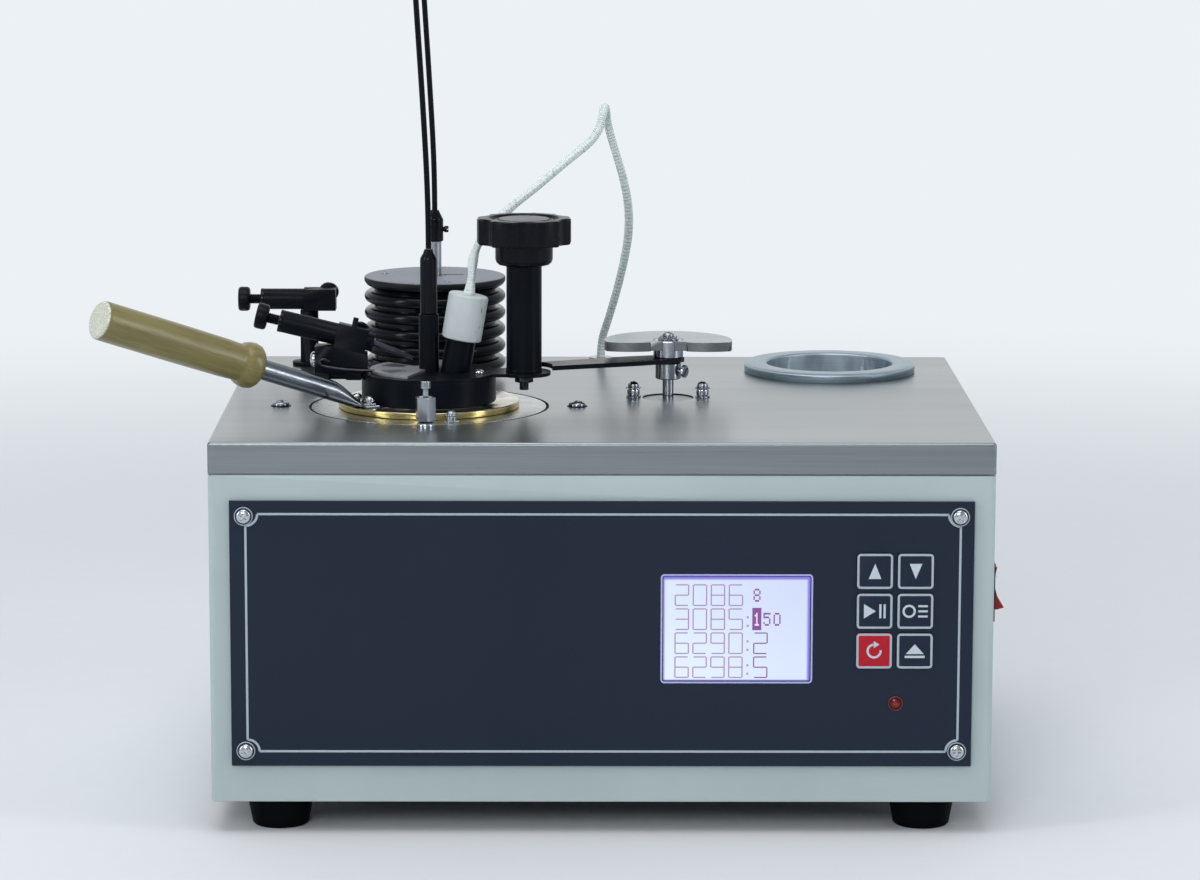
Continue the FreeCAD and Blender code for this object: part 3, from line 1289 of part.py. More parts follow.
def make_column():
    """Knob column on the lid's lobe, with the spindle that the star knob turns."""
    low = LID_TOP
    column = ring(LOBE_X, CUP_Y, COLUMN_R, KNOB_SPINDLE_R + FIT, low, TOP + COLUMN_TOP_Z)
    save("knob_column", column)
    neck_low = TOP + COLUMN_TOP_Z + SLIDE_GAP
    base = TOP + KNOB_BASE_Z
    top = TOP + KNOB_TOP_Z
    knob = turned(LOBE_X, CUP_Y, [
        (KNOB_SPINDLE_R + FIT, neck_low),
        (NECK_R, neck_low),
        (NECK_R, base),
        (KNOB_R - KNOB_ROUND, base),
        (KNOB_R, base + KNOB_ROUND),
        (KNOB_R, top - KNOB_ROUND),
        (KNOB_R - KNOB_ROUND, top),
        (KNOB_INSERT_R + KNOB_INSERT_DEPTH / 2, top),
        (KNOB_INSERT_R, top - KNOB_INSERT_DEPTH),
        (0, top - KNOB_INSERT_DEPTH),
        (0, base),
        (KNOB_SPINDLE_R + FIT, base),
    ])
    for i in range(KNOB_LOBES):
        dx, dy = polar(KNOB_NOTCH_CENTRE_R, FULL_TURN * (i + 0.5) / KNOB_LOBES)
        knob = knob.cut(rod(LOBE_X + dx, CUP_Y + dy, KNOB_NOTCH_R, base, top + OVER))
    save("star_knob", knob)
    nut_top = LID_BOTTOM - SLIDE_GAP
    nut_bottom = nut_top - NUT_HEIGHT
    spindle = rod(LOBE_X, CUP_Y, KNOB_SPINDLE_R, nut_bottom, base)
    spindle = spindle.fuse(hexagon(LOBE_X, CUP_Y, NUT_FLATS, nut_bottom, nut_top))
    spindle = spindle.fuse(rod(LOBE_X, CUP_Y, M4_R, nut_bottom - BOLT_TIP, nut_bottom))
    save("knob_spindle", spindle.removeSplitter())


def make_sensor():
    """Tilted port on the lid, its plug and the probe that reaches into the cup."""
    port = along_port(PORT_R, LID_BOTTOM - TOP - PORT_OVER, PORT_TOP_Z)
    port = port.cut(box(
        CUP_X - RIM_R, CUP_X + 2 * RIM_R, CUP_Y - RIM_R, CUP_Y + RIM_R, LID_BOTTOM - RIM_R, LID_TOP,
    ))
    port = port.cut(along_port(PROBE_R + PLAY, LID_BOTTOM - TOP - PORT_OVER, PORT_TOP_Z + OVER))
    save("sensor_port", port)
    point, up = port_axis()
    plug = turned(0, 0, [
        (0, -PLUG_LENGTH / 2),
        (PLUG_R - PLUG_ROUND, -PLUG_LENGTH / 2),
        (PLUG_R, -PLUG_LENGTH / 2 + PLUG_ROUND),
        (PLUG_R, PLUG_LENGTH / 2 - PLUG_ROUND),
        (PLUG_R - PLUG_ROUND, PLUG_LENGTH / 2),
        (0, PLUG_LENGTH / 2),
    ])
    seat = point - up * (PLUG_LENGTH / 2)
    length = (seat.z - TOP - PROBE_TIP_Z) / up.z
    probe = Part.makeCylinder(PROBE_R, length, seat, -up)
    save("sensor_plug", turned_to(plug, up, point), probe)


def make_bearing():
    """Stirrer's bearing column on the lid."""
    column = ring(CUP_X, CUP_Y, BEARING_R, STIRRER_R + FIT, LID_TOP, TOP + BEARING_TOP_Z)
    save("bearing_column", column)


def propeller(z, radius, start_turn):
    """Two-bladed propeller with pitched blades and a hub."""
    hub = ring(CUP_X, CUP_Y, PROPELLER_HUB_R, STIRRER_R, z - PROPELLER_HUB_H / 2, z + PROPELLER_HUB_H / 2)
    solid = hub
    for i in range(PROPELLER_BLADES):
        blade = box(
            CUP_X + STIRRER_R, CUP_X + radius, CUP_Y - PROPELLER_WIDTH / 2, CUP_Y + PROPELLER_WIDTH / 2,
            z - BLADE_SHEET / 2, z + BLADE_SHEET / 2,
        )
        blade.rotate(V(CUP_X, CUP_Y, z), RIGHT, PROPELLER_PITCH)
        blade.rotate(V(CUP_X, CUP_Y, z), UP, start_turn + FULL_TURN * i / PROPELLER_BLADES)
        solid = solid.fuse(blade)
    return solid


def make_stirrer():
    """Chuck above the bearing and the stirrer spindle with its two propellers."""
    chuck = turned(CUP_X, CUP_Y, [
        (STIRRER_R + FIT, TOP + BEARING_TOP_Z + SLIDE_GAP),
        (CHUCK_R, TOP + BEARING_TOP_Z + SLIDE_GAP),
        (CHUCK_R, TOP + CHUCK_TOP_Z),
        (CHUCK_TIP_R, TOP + CHUCK_TIP_Z),
        (0, TOP + CHUCK_TIP_Z),
        (0, TOP + CHUCK_TOP_Z),
        (STIRRER_R + FIT, TOP + CHUCK_TOP_Z),
    ])
    save("stirrer_chuck", chuck)
    spindle = rod(CUP_X, CUP_Y, STIRRER_R, TOP + STIRRER_TIP_Z, TOP + CHUCK_TOP_Z)
    spindle = spindle.fuse(propeller(TOP + LOWER_BLADE_Z, LOWER_BLADE_R, 0))
    spindle = spindle.fuse(propeller(TOP + UPPER_BLADE_Z, UPPER_BLADE_R, UPPER_BLADE_TURN))
    save("stirrer_spindle", spindle.removeSplitter())


def make_bracket():
    """Bracket on the left of the lid with its end block, and its two screws."""
    half = BRACKET_WIDTH / 2
    low = LID_BOTTOM - BRACKET_SHEET + LID_SHEET
    left = CUP_X - RIM_R
    bar = box(BRACKET_END_X, left, CUP_Y - half, CUP_Y + half, low, LID_TOP)
    block = box(
        BRACKET_END_X, BRACKET_END_X + BRACKET_BLOCK, CUP_Y - half, CUP_Y + half,
        TOP + BRACKET_FOOT_Z, LID_TOP,
    )
    bar = bar.fuse(block)
    bar = bar.cut(rod(CUP_X, CUP_Y, RIM_R, low - OVER, LID_TOP + OVER))
    slot_half = BRACKET_SLOT_WIDTH / 2
    slot_left = BRACKET_END_X + BRACKET_BLOCK + PLAY
    bar = bar.cut(box(
        slot_left, slot_left + BRACKET_SLOT / 2, CUP_Y - half - OVER, CUP_Y - half + slot_half,
        low - OVER, LID_TOP + OVER,
    ))
    save("valve_bracket", bar.removeSplitter())
    middle = (LID_TOP + TOP + SUPPORT_TOP_Z) / 2
    side = turned_to(pan_head(BRACKET_SCREW_R, M4_HEAD_H), -RIGHT, V(BRACKET_END_X, CUP_Y, middle))
    below = turned_to(
        pan_head(BRACKET_LOW_SCREW_R, M3_HEAD_H), -UP,
        V(BRACKET_END_X + BRACKET_BLOCK / 2, CUP_Y, TOP + BRACKET_FOOT_Z),
    )
    dx, dy = polar(LID_SCREW_CENTRE_R, LID_SCREW_TURN)
    top = turned_to(pan_head(SMALL_HEAD_R, M3_HEAD_H), UP, V(CUP_X + dx, CUP_Y + dy, LID_TOP))
    save("lid_screws", side, below, top)


def valve_point(along):
    """Point on the front valve's tilted axis, counted to the right from its pivot."""
    tilt = math.radians(VALVE_TILT)
    return V(VALVE_PIVOT_X + along * math.cos(tilt), CUP_Y, TOP + VALVE_PIVOT_Z - along * math.sin(tilt))


def valve_parts(knob_only):
    """Gas valve along +X with its block to the right of the origin: body, or knob with stem."""
    if knob_only:
        stem = Part.makeCylinder(VALVE_STEM_R, VALVE_STEM - SLIDE_GAP, V(-VALVE_CYLINDER - SLIDE_GAP, 0, 0), -RIGHT)
        knob = Part.makeCylinder(VALVE_KNOB_R, VALVE_KNOB, V(-VALVE_CYLINDER - VALVE_STEM, 0, 0), -RIGHT)
        edges = [e for e in knob.Edges if e.Curve.TypeId == "Part::GeomCircle"]
        knob = knob.makeChamfer(VALVE_KNOB_CHAMFER, edges)
        return stem.fuse(knob).removeSplitter()
    cylinder = Part.makeCylinder(VALVE_R, VALVE_CYLINDER + OVER, V(-VALVE_CYLINDER, 0, 0), RIGHT)
    side = VALVE_BLOCK_SIDE / 2
    block = box(0, VALVE_BLOCK, -side, side, -side, side)
    knurl = Part.makeCylinder(KNURL_R, KNURL_LENGTH, V(VALVE_BLOCK, 0, 0), RIGHT)
    peg = rod(VALVE_BLOCK / 2, 0, PEG_R, side - OVER, side + PEG_HEIGHT)
    return cylinder.fuse([block, knurl, peg]).removeSplitter()


def make_front_valve():
    """Tilted gas valve on the bracket, its knob, and the nozzle that lights the vapour."""
    pivot = valve_point(0)
    placement = FreeCAD.Placement(pivot, FreeCAD.Rotation(BACK, VALVE_TILT))
    body = valve_parts(False)
    body.Placement = placement
    half = SUPPORT_DEPTH / 2
    support = box(BRACKET_END_X, SUPPORT_RIGHT_X, CUP_Y - half, CUP_Y + half, LID_TOP, TOP + VALVE_PIVOT_Z)
    cut_point = valve_point(0)
    slab = box(-CASE_WIDTH, CASE_WIDTH, -half - OVER, half + OVER, -VALVE_BLOCK_SIDE / 2, CASE_WIDTH)
    slab.Placement = FreeCAD.Placement(cut_point, FreeCAD.Rotation(BACK, VALVE_TILT))
    support = support.cut(slab)
    support = support.common(box(
        BRACKET_END_X, SUPPORT_RIGHT_X, CUP_Y - half, CUP_Y + half, LID_TOP, TOP + SUPPORT_TOP_Z + OVER,
    ))
    save("front_valve_body", body.fuse(support).removeSplitter())
    knob = valve_parts(True)
    knob.Placement = placement
    save("front_valve_knob", knob)
    end = valve_point(VALVE_BLOCK + KNURL_LENGTH)
    tilt = math.radians(VALVE_TILT + NOZZLE_TILT)
    aim = V(math.cos(tilt), 0, -math.sin(tilt))
    straight = NOZZLE_LENGTH / 2
    nozzle = Part.makeCylinder(NOZZLE_R, straight + OVER, end - aim * OVER, aim)
    nozzle = nozzle.fuse(Part.makeCone(NOZZLE_R, NOZZLE_TIP_R, NOZZLE_LENGTH - straight, end + aim * straight, aim))
    behind = valve_parts(False)
    behind.Placement = placement
    nozzle = nozzle.cut(behind)
    save("flame_nozzle", nozzle.removeSplitter())


def make_rear_valve():
    """Second gas valve on its square post."""
    half = POST_SIDE / 2
    side = VALVE_BLOCK_SIDE / 2
    low = TOP + REAR_VALVE_Z - side
    post = box(POST_X - half, POST_X + half, POST_Y - half, POST_Y + half, TOP, low)
    post = post.fuse(rod(POST_X, POST_Y, POST_FOOT_R, TOP, TOP + POST_FOOT))
    middle = TOP + REAR_VALVE_Z
    split = REAR_VALVE_LEFT_X + REAR_CYLINDER
    start = V(REAR_VALVE_LEFT_X, POST_Y, middle)
    body = Part.makeCylinder(VALVE_R, REAR_CYLINDER + OVER, start, RIGHT)
    body = body.fuse(box(split, REAR_VALVE_RIGHT_X, POST_Y - side, POST_Y + side, middle - side, middle + side))
    knurl_start = V(REAR_VALVE_RIGHT_X - KNURL_R, POST_Y + side, middle + side / 2)
    body = body.fuse(Part.makeCylinder(REAR_KNURL_R, KNURL_LENGTH, knurl_start, BACK))
    save("rear_valve_body", body.removeSplitter(), post.removeSplitter())
    knob = valve_parts(True)
    knob.translate(V(REAR_VALVE_LEFT_X + VALVE_CYLINDER, POST_Y, middle))
    save("rear_valve_knob", knob)


def main():
    """Build every node."""
    os.makedirs("parts", exist_ok=True)
    make_feet()
    make_base()
    make_case()
    make_cover()
    make_panel()
    make_display()
    make_keys()
    make_led()
    make_switch()
    make_inlet()
    make_electronics()
    make_furnace()
    make_cover_screws()
    make_fittings()
    make_tower()
    make_motor_coupling()
    make_drive_inside()
    make_drive_post()
    make_drive_arm()
    make_cam()
    make_cup()
    make_handle()
    make_lid()
    make_shutter()
    make_column()
    make_sensor()
    make_bearing()
    make_stirrer()
    make_bracket()
    make_front_valve()
    make_rear_valve()
    save("sensor_lead", cord("sensor_lead", LEAD_POINTS, LEAD_R))
    save("flexible_shaft", cord("flexible_shaft", FLEX_POINTS, FLEX_R))


main()
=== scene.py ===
"""Looks of a closed-cup flash point tester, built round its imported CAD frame."""

import json
import logging
import math
from dataclasses import dataclass
from enum import Enum

import bmesh
import bpy
from mathutils import Matrix, Vector


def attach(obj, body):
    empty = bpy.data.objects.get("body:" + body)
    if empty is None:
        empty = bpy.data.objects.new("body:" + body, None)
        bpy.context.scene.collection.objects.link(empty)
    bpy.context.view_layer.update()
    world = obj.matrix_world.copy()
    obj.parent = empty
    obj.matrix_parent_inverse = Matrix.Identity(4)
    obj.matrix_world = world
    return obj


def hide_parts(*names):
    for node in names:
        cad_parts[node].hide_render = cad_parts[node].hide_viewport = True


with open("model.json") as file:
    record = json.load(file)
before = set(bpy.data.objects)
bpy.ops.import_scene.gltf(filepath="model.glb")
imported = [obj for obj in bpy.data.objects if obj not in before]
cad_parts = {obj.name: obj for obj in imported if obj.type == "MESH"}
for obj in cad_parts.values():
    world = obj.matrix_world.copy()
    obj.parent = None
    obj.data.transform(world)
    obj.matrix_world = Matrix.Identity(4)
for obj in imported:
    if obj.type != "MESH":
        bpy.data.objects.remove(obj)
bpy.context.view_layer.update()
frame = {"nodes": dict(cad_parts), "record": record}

LOG = logging.getLogger("tester")
MM = 0.001
UP = Vector((0, 0, 1))
RIGHT = Vector((1, 0, 0))
BACK = Vector((0, 1, 0))
Colour = tuple[float, float, float, float]
Triple = tuple[float, float, float]
Pair = tuple[float, float]
Socket = bpy.types.NodeSocket

TOP = 168.0
PANEL_FACE = -127.0
CUP_X = -75.5
CUP_Y = -27.0
LID_TOP = 183.6
LOBE_X = -33.7
TOWER_Y = 60.0
DRIVE_X = 30.2
DRIVE_Y = -1.0

BODY_OF = {node: body for body, nodes in frame["record"]["behaviour"]["bodies"].items() for node in nodes}
SLOT_OF = {part["node"]: part["material_slot"] for part in frame["record"]["subparts"]}


def srgb(red: int, green: int, blue: int) -> Colour:
    """Linear colour of an 8-bit screen colour."""
    def linear(level: int) -> float:
        """One channel, made linear."""
        share = level / 255
        return share / 12.92 if share <= 0.04045 else ((share + 0.055) / 1.055) ** 2.4
    return linear(red), linear(green), linear(blue), 1.0


def shaded(colour: Colour, share: float) -> Colour:
    """A colour made lighter or darker by a share."""
    return colour[0] * share, colour[1] * share, colour[2] * share, 1.0


def polar(radius: float, degrees: float) -> Pair:
    """X and Y of a point round the origin."""
    turn = math.radians(degrees)
    return radius * math.cos(turn), radius * math.sin(turn)


# Shader nodes


class Term:
    """A number on a shader socket, to which Python's operators add Math nodes."""

    def __init__(self, sheet: "Nodes", socket: Socket) -> None:
        """Wraps a socket."""
        self.sheet = sheet
        self.socket = socket

    def _math(self, operation: str, *values: "Term | float") -> "Term":
        """Adds one Math node."""
        node = self.sheet.node("ShaderNodeMath", {"operation": operation}, dict(enumerate(values)))
        return Term(self.sheet, node.outputs[0])

    def __add__(self, other: "Term | float") -> "Term":
        """Sum."""
        return self._math("ADD", self, other)

    __radd__ = __add__

    def __mul__(self, other: "Term | float") -> "Term":
        """Product."""
        return self._math("MULTIPLY", self, other)

    __rmul__ = __mul__

    def __sub__(self, other: "Term | float") -> "Term":
        """Difference."""
        return self._math("SUBTRACT", self, other)

    def __rsub__(self, other: float) -> "Term":
        """Difference from a plain number."""
        return self._math("SUBTRACT", other, self)

    def root(self) -> "Term":
        """Square root."""
        return self._math("SQRT", self)

    def sine(self) -> "Term":
        """Sine of the number in radians."""
        return self._math("SINE", self)

    def ramp(self, low: float, high: float) -> "Term":
        """Smooth step from 0 at low to 1 at high."""
        inputs = {"Value": self, "From Min": low, "From Max": high}
        node = self.sheet.node("ShaderNodeMapRange", {"interpolation_type": "SMOOTHSTEP"}, inputs)
        return Term(self.sheet, node.outputs["Result"])


class Nodes:
    """Shader nodes of a material or of the world."""

    def __init__(self, tree: bpy.types.NodeTree) -> None:
        """Takes the tree that the nodes go into."""
        self.tree = tree

    def node(self, kind: str, settings: dict | None = None, inputs: dict | None = None) -> bpy.types.Node:
        """Adds a node.

        Args:
            kind: Blender's type of the node.
            settings: Its own settings, which are set first; "stops" are a ramp's places and colours.
            inputs: Value, term or socket for each input, by name or number.

        Returns:
            The node.
        """
        made = self.tree.nodes.new(kind)
        for key, value in (settings or {}).items():
            if key == "stops":
                stops = made.color_ramp.elements
                while len(stops) < len(value):
                    stops.new(1.0)
                for stop, (place, colour) in zip(stops, value):
                    stop.position, stop.color = place, colour
            else:
                setattr(made, key, value)
        for key, value in (inputs or {}).items():
            self.give(made.inputs[key], value)
        return made

    def give(self, target: Socket, value: "Term | Socket | Colour | float") -> None:
        """Links a term or socket to an input, or sets the input to a uniform value."""
        source = value.socket if isinstance(value, Term) else value
        if isinstance(source, Socket):
            self.tree.links.new(source, target)
        else:
            target.default_value = source


class Sheet(Nodes):
    """One material's nodes and the shader that they feed."""

    def __init__(self, name: str) -> None:
        """Makes the material."""
        self.material = bpy.data.materials.new(name)
        self.material.use_nodes = True
        super().__init__(self.material.node_tree)
        self.shader = self.tree.nodes["Principled BSDF"]
        self.place = self.node("ShaderNodeTexCoord").outputs["Object"]

    def mapped(self, place: Socket, **change: Triple | list[float]) -> Socket:
        """A place after one Mapping node with a Location, Rotation or Scale."""
        return self.node("ShaderNodeMapping", {}, {"Vector": place, **change}).outputs[0]

    def spread(
        self, scale: Triple = (1, 1, 1), centre: Triple = (0, 0, 0), turn: Triple = (0, 0, 0)
    ) -> Socket:
        """Object coordinates, moved from a centre, turned, then stretched.

        Args:
            scale: Stretch along each axis.
            centre: Point of the frame that becomes the origin, in mm.
            turn: Turn about each axis, in degrees.

        Returns:
            The coordinates' socket.
        """
        moved = self.mapped(self.place, Location=[-c * MM for c in centre])
        turned = self.mapped(moved, Rotation=[math.radians(t) for t in turn])
        return self.mapped(turned, Scale=scale)

    def noise(self, place: Socket, scale: float, detail: float = 2.0, roughness: float = 0.5) -> Term:
        """Smooth noise from 0 to 1."""
        inputs = {"Vector": place, "Scale": scale, "Detail": detail, "Roughness": roughness}
        return Term(self, self.node("ShaderNodeTexNoise", {}, inputs).outputs[0])

    def parts(self, place: Socket) -> list[Term]:
        """The three numbers of a place."""
        return [Term(self, out) for out in self.node("ShaderNodeSeparateXYZ", {}, {0: place}).outputs]

    def joined(self, *parts: "Term | float") -> Socket:
        """A place from up to three numbers."""
        return self.node("ShaderNodeCombineXYZ", {}, dict(enumerate(parts))).outputs[0]

    def blend(
        self,
        factor: "Term | float",
        first: "Colour | Socket",
        second: "Colour | Socket",
        kind: str = "MIX",
    ) -> Socket:
        """Colour between two, by a factor from 0 to 1.

        Args:
            factor: Share of the second colour.
            first: Colour at 0.
            second: Colour at 1.
            kind: Blender's way of mixing them.

        Returns:
            The colour's socket.
        """
        settings = {"data_type": "RGBA", "blend_type": kind}
        return self.node("ShaderNodeMix", settings, {0: factor, 6: first, 7: second}).outputs[2]

    def tones(self, mask: Term, colour: Colour, low: float, high: float) -> Socket:
        """A colour that a mask takes from a low to a high share of itself."""
        return self.blend(mask, shaded(colour, low), shaded(colour, high))

    def bump(
        self, height: Term, distance: float, strength: float = 1.0, normal: Socket | None = None
    ) -> Socket:
        """Normal of a surface raised by a height, whose full scale is distance in mm."""
        inputs = {"Height": height, "Distance": distance * MM, "Strength": strength}
        if normal is not None:
            inputs["Normal"] = normal
        return self.node("ShaderNodeBump", {}, inputs).outputs[0]

    def outward(self) -> Socket:
        """The surface's own normal."""
        return self.node("ShaderNodeNewGeometry").outputs["Normal"]

    def facing(self) -> Term:
        """Mask of the faces that look upwards."""
        return self.parts(self.outward())[2].ramp(0.2, 0.9)

    def eased(self, radius: float) -> Socket:
        """Normal of the surface with its sharp edges eased by a radius in mm."""
        return self.node("ShaderNodeBevel", {"samples": 6}, {"Radius": radius * MM}).outputs[0]

    def edge(self, radius: float) -> Term:
        """Mask that grows towards sharp edges."""
        inputs = {0: self.outward(), 1: self.eased(radius)}
        dot = self.node("ShaderNodeVectorMath", {"operation": "DOT_PRODUCT"}, inputs).outputs["Value"]
        return (1.0 - Term(self, dot)).ramp(0.01, 0.25)

    def paint(self, **values: "Term | Socket | Colour | float") -> None:
        """Feeds the shader's sockets, whose names have underscores for spaces."""
        for name, value in values.items():
            self.give(self.shader.inputs[name.replace("_", " ")], value)


# Finishes


@dataclass(frozen=True)
class Finish:
    """A finish with a colour and a roughness, made into one material."""

    name: str
    colour: Colour
    roughness: float

    def dress(self, sheet: Sheet) -> None:
        """Adds the finish's nodes."""
        raise NotImplementedError

    def material(self) -> bpy.types.Material:
        """The finish's material, made once."""
        found = bpy.data.materials.get(self.name)
        if found is None:
            sheet = Sheet(self.name)
            sheet.paint(Base_Color=self.colour, Roughness=self.roughness)
            self.dress(sheet)
            found = sheet.material
            found.diffuse_color = self.colour
        return found


@dataclass(frozen=True)
class PowderCoat(Finish):
    """Baked powder paint with a fine orange peel and faint clouds."""

    peel: float = 0.03

    def dress(self, sheet: Sheet) -> None:
        """Adds the finish's nodes."""
        grain = sheet.noise(sheet.place, 1300.0)
        cloud = sheet.noise(sheet.place, 11.0, 4.0, 0.6).ramp(0.35, 0.65)
        sheet.paint(
            Base_Color=sheet.tones(cloud, self.colour, 0.965, 1.03),
            Roughness=self.roughness - 0.06 + grain * 0.12,
            Normal=sheet.bump(grain, self.peel, 0.5, sheet.eased(0.5)),
            Specular_IOR_Level=0.4,
        )


@dataclass(frozen=True)
class BrushedSteel(Finish):
    """Stainless sheet with its grain along X, soft bands across it, and painted shade on its upright sides
    and rounded folds.
    """

    # The side and fold shares of the colour, kept on upright faces and on faces that lean between upright and
    # level, are painted shade.
    side: float = 1.0
    fold_shade: float = 0.6

    def dress(self, sheet: Sheet) -> None:
        """Adds the finish's nodes."""
        fine = sheet.noise(sheet.spread((14, 2600, 2600)), 1.0, 4.0, 0.65)
        bands = sheet.noise(sheet.spread((3, 90, 420)), 1.0, 4.0, 0.6).ramp(0.25, 0.75)
        smear = sheet.noise(sheet.spread((9, 16, 16)), 1.0)
        streaks = sheet.tones(fine.ramp(0.3, 0.7), self.colour, 0.84, 1.08)
        half = sheet.blend(0.5, sheet.tones(bands, self.colour, 0.82, 1.12), streaks)
        # Painted shade: upright faces take the side share of the colour.
        upright = sheet.blend(1.0, half, (self.side, self.side, self.side, 1.0), "MULTIPLY")
        facing = sheet.facing()
        # Painted shade: faces that lean between upright and level, such as rounded folds, are darkened
        # towards the fold share.
        fold_shade_mask = facing * (1.0 - facing) * 3.2
        sheet.paint(
            Base_Color=sheet.blend(fold_shade_mask, sheet.blend(facing, upright, half), shaded(self.colour, self.fold_shade)),
            Roughness=self.roughness - 0.1 + fine * 0.14 + smear * 0.06,
            Normal=sheet.bump(fine, 0.006, 0.35, sheet.eased(0.3)),
            Metallic=1.0,
        )


@dataclass(frozen=True)
class TurnedMetal(Finish):
    """Metal turned on a lathe, with fine rings round its upright axis."""

    centre: Triple = (0, 0, 0)
    pitch: float = 0.25
    depth: float = 0.004
    wear_and_sheen: float = 0.1
    # top: colour for the faces that look upwards, a painted reflection
    top: Colour | None = None

    def dress(self, sheet: Sheet) -> None:
        """Adds the finish's nodes."""
        across, along, height = sheet.parts(sheet.spread(centre=self.centre))
        radius = (across * across + along * along).root()
        rings = sheet.noise(sheet.joined(radius + height, height * 0.35), 1 / (self.pitch * MM), 3.0, 0.6)
        smear = sheet.noise(sheet.place, 120.0, 3.0)
        tone = (rings * 0.7 + smear * 0.3).ramp(0.3, 0.7)
        base = sheet.tones(tone, self.colour, 0.86, 1.05)
        # Painted reflection: faces that look upwards take the top colour.
        if self.top:
            base = sheet.blend(sheet.facing(), base, sheet.tones(tone, self.top, 0.9, 1.04))
        sheet.paint(
            Base_Color=base,
            Roughness=self.roughness - self.wear_and_sheen / 2 + smear.ramp(0.3, 0.75) * self.wear_and_sheen,
            Normal=sheet.bump(rings, self.depth, 0.5, sheet.eased(0.2)),
            Metallic=1.0,
        )


@dataclass(frozen=True)
class PolishedMetal(Finish):
    """Bright metal with eased edges and faint smears."""

    scratch: float = 0.08

    def dress(self, sheet: Sheet) -> None:
        """Adds the finish's nodes."""
        smear = sheet.noise(sheet.place, 240.0, 4.0, 0.6)
        fine = sheet.noise(sheet.spread((700, 700, 2400)), 1.0)
        sheet.paint(
            Base_Color=sheet.tones(smear.ramp(0.35, 0.7), self.colour, 1.0, 0.88),
            Roughness=self.roughness + smear.ramp(0.4, 0.8) * self.scratch,
            Normal=sheet.bump(fine, 0.002, 0.3, sheet.eased(0.15)),
            Metallic=1.0,
        )


@dataclass(frozen=True)
class BlackMetal(Finish):
    """Black painted or oxidised metal, a little brighter where its edges show wear."""

    wear: float = 0.35
    bare: Colour = (0.07, 0.075, 0.085, 1.0)
    shine: float = 0.08

    def dress(self, sheet: Sheet) -> None:
        """Adds the finish's nodes."""
        patch = sheet.noise(sheet.place, 380.0, 3.0)
        wear_and_sheen = sheet.edge(0.3) * patch.ramp(0.35, 0.7) * self.wear
        dust = sheet.noise(sheet.place, 60.0, 3.0).ramp(0.3, 0.8)
        fine = sheet.noise(sheet.place, 1680.0)
        sheet.paint(
            Base_Color=sheet.blend(wear_and_sheen, sheet.tones(dust, self.colour, 1.0, 1.35), self.bare),
            Roughness=self.roughness - 0.05 + dust * 0.12,
            Normal=sheet.bump(fine, 0.008, 0.35, sheet.eased(0.3)),
            Specular_IOR_Level=self.shine,
        )


@dataclass(frozen=True)
class Moulded(Finish):
    """Moulded plastic or bakelite with a slight unevenness."""

    grain: float = 700.0
    depth: float = 0.01
    coat: float = 0.0
    shine: float = 0.4

    def dress(self, sheet: Sheet) -> None:
        """Adds the finish's nodes."""
        fine = sheet.noise(sheet.place, self.grain)
        cloud = sheet.noise(sheet.place, 45.0, 3.0).ramp(0.3, 0.7)
        sheet.paint(
            Base_Color=sheet.tones(cloud, self.colour, 0.92, 1.07),
            Roughness=self.roughness - 0.04 + cloud * 0.08,
            Normal=sheet.bump(fine, self.depth, 0.4, sheet.eased(0.3)),
            Coat_Weight=self.coat, Coat_Roughness=0.08, Specular_IOR_Level=self.shine,
        )


@dataclass(frozen=True)
class PanelFilm(Finish):
    """Printed navy film over the front panel, with a very fine matt texture."""

    def dress(self, sheet: Sheet) -> None:
        """Adds the finish's nodes."""
        fine = sheet.noise(sheet.place, 2600.0, 1.0)
        cloud = sheet.noise(sheet.place, 9.0, 3.0).ramp(0.3, 0.7)
        speck = sheet.noise(sheet.place, 520.0, 1.0).ramp(0.74, 0.78)
        base = sheet.tones(cloud, self.colour, 0.92, 1.08)
        sheet.paint(
            Base_Color=sheet.blend(speck * 0.25, base, shaded(self.colour, 2.4)),
            Roughness=self.roughness + fine * 0.08,
            Normal=sheet.bump(fine, 0.008, 0.35, sheet.eased(0.4)),
            Specular_IOR_Level=0.22,
        )


@dataclass(frozen=True)
class Ink(Finish):
    """Flat printed or painted mark."""

    def dress(self, sheet: Sheet) -> None:
        """Adds the finish's nodes."""
        grain = sheet.noise(sheet.place, 1500.0).ramp(0.2, 0.8)
        sheet.paint(Base_Color=sheet.tones(grain, self.colour, 0.93, 1.05))


@dataclass(frozen=True)
class Lit(Finish):
    """Mark on a display that is lit from behind."""

    def dress(self, sheet: Sheet) -> None:
        """Adds the finish's nodes."""
        dots = sheet.noise(sheet.place, 1900.0, 1.0)
        sheet.paint(
            Emission_Color=sheet.tones(dots, self.colour, 0.97, 1.0), Emission_Strength=1.0, Base_Color=UNLIT,
        )


@dataclass(frozen=True)
class Backlit(Finish):
    """Lit field of the display, with painted shade of the window's recessed edges in violet bands along its
    borders.
    """

    border: Colour
    window: tuple[float, float, float, float]

    def dress(self, sheet: Sheet) -> None:
        """Adds the finish's nodes."""
        left, right, low, high = (edge * MM for edge in self.window)
        across, _, height = sheet.parts(sheet.place)
        # Painted shade: violet bands along the recessed edges, wider on the right and at the top.
        sides = across.ramp(left + 0.9 * MM, left + 2.3 * MM)
        sides = sides * (1.0 - across.ramp(right - 2.9 * MM, right - 1.5 * MM))
        ends = height.ramp(low + 1.0 * MM, low + 1.9 * MM)
        ends = ends * (1.0 - height.ramp(high - 3.0 * MM, high - 1.7 * MM))
        # The field's colour drifts a little towards that violet to the right and upwards.
        mauve = (across - left).ramp(3 * MM, 60 * MM) * 0.12 + height.ramp(low, high) * 0.12
        dots = sheet.noise(sheet.place, 1900.0, 1.0)
        tinted = sheet.blend(mauve, sheet.tones(dots, self.colour, 0.965, 1.0), self.border)
        sheet.paint(
            Emission_Color=sheet.blend(sides * ends, self.border, tinted), Emission_Strength=1.0,
            Base_Color=UNLIT,
        )


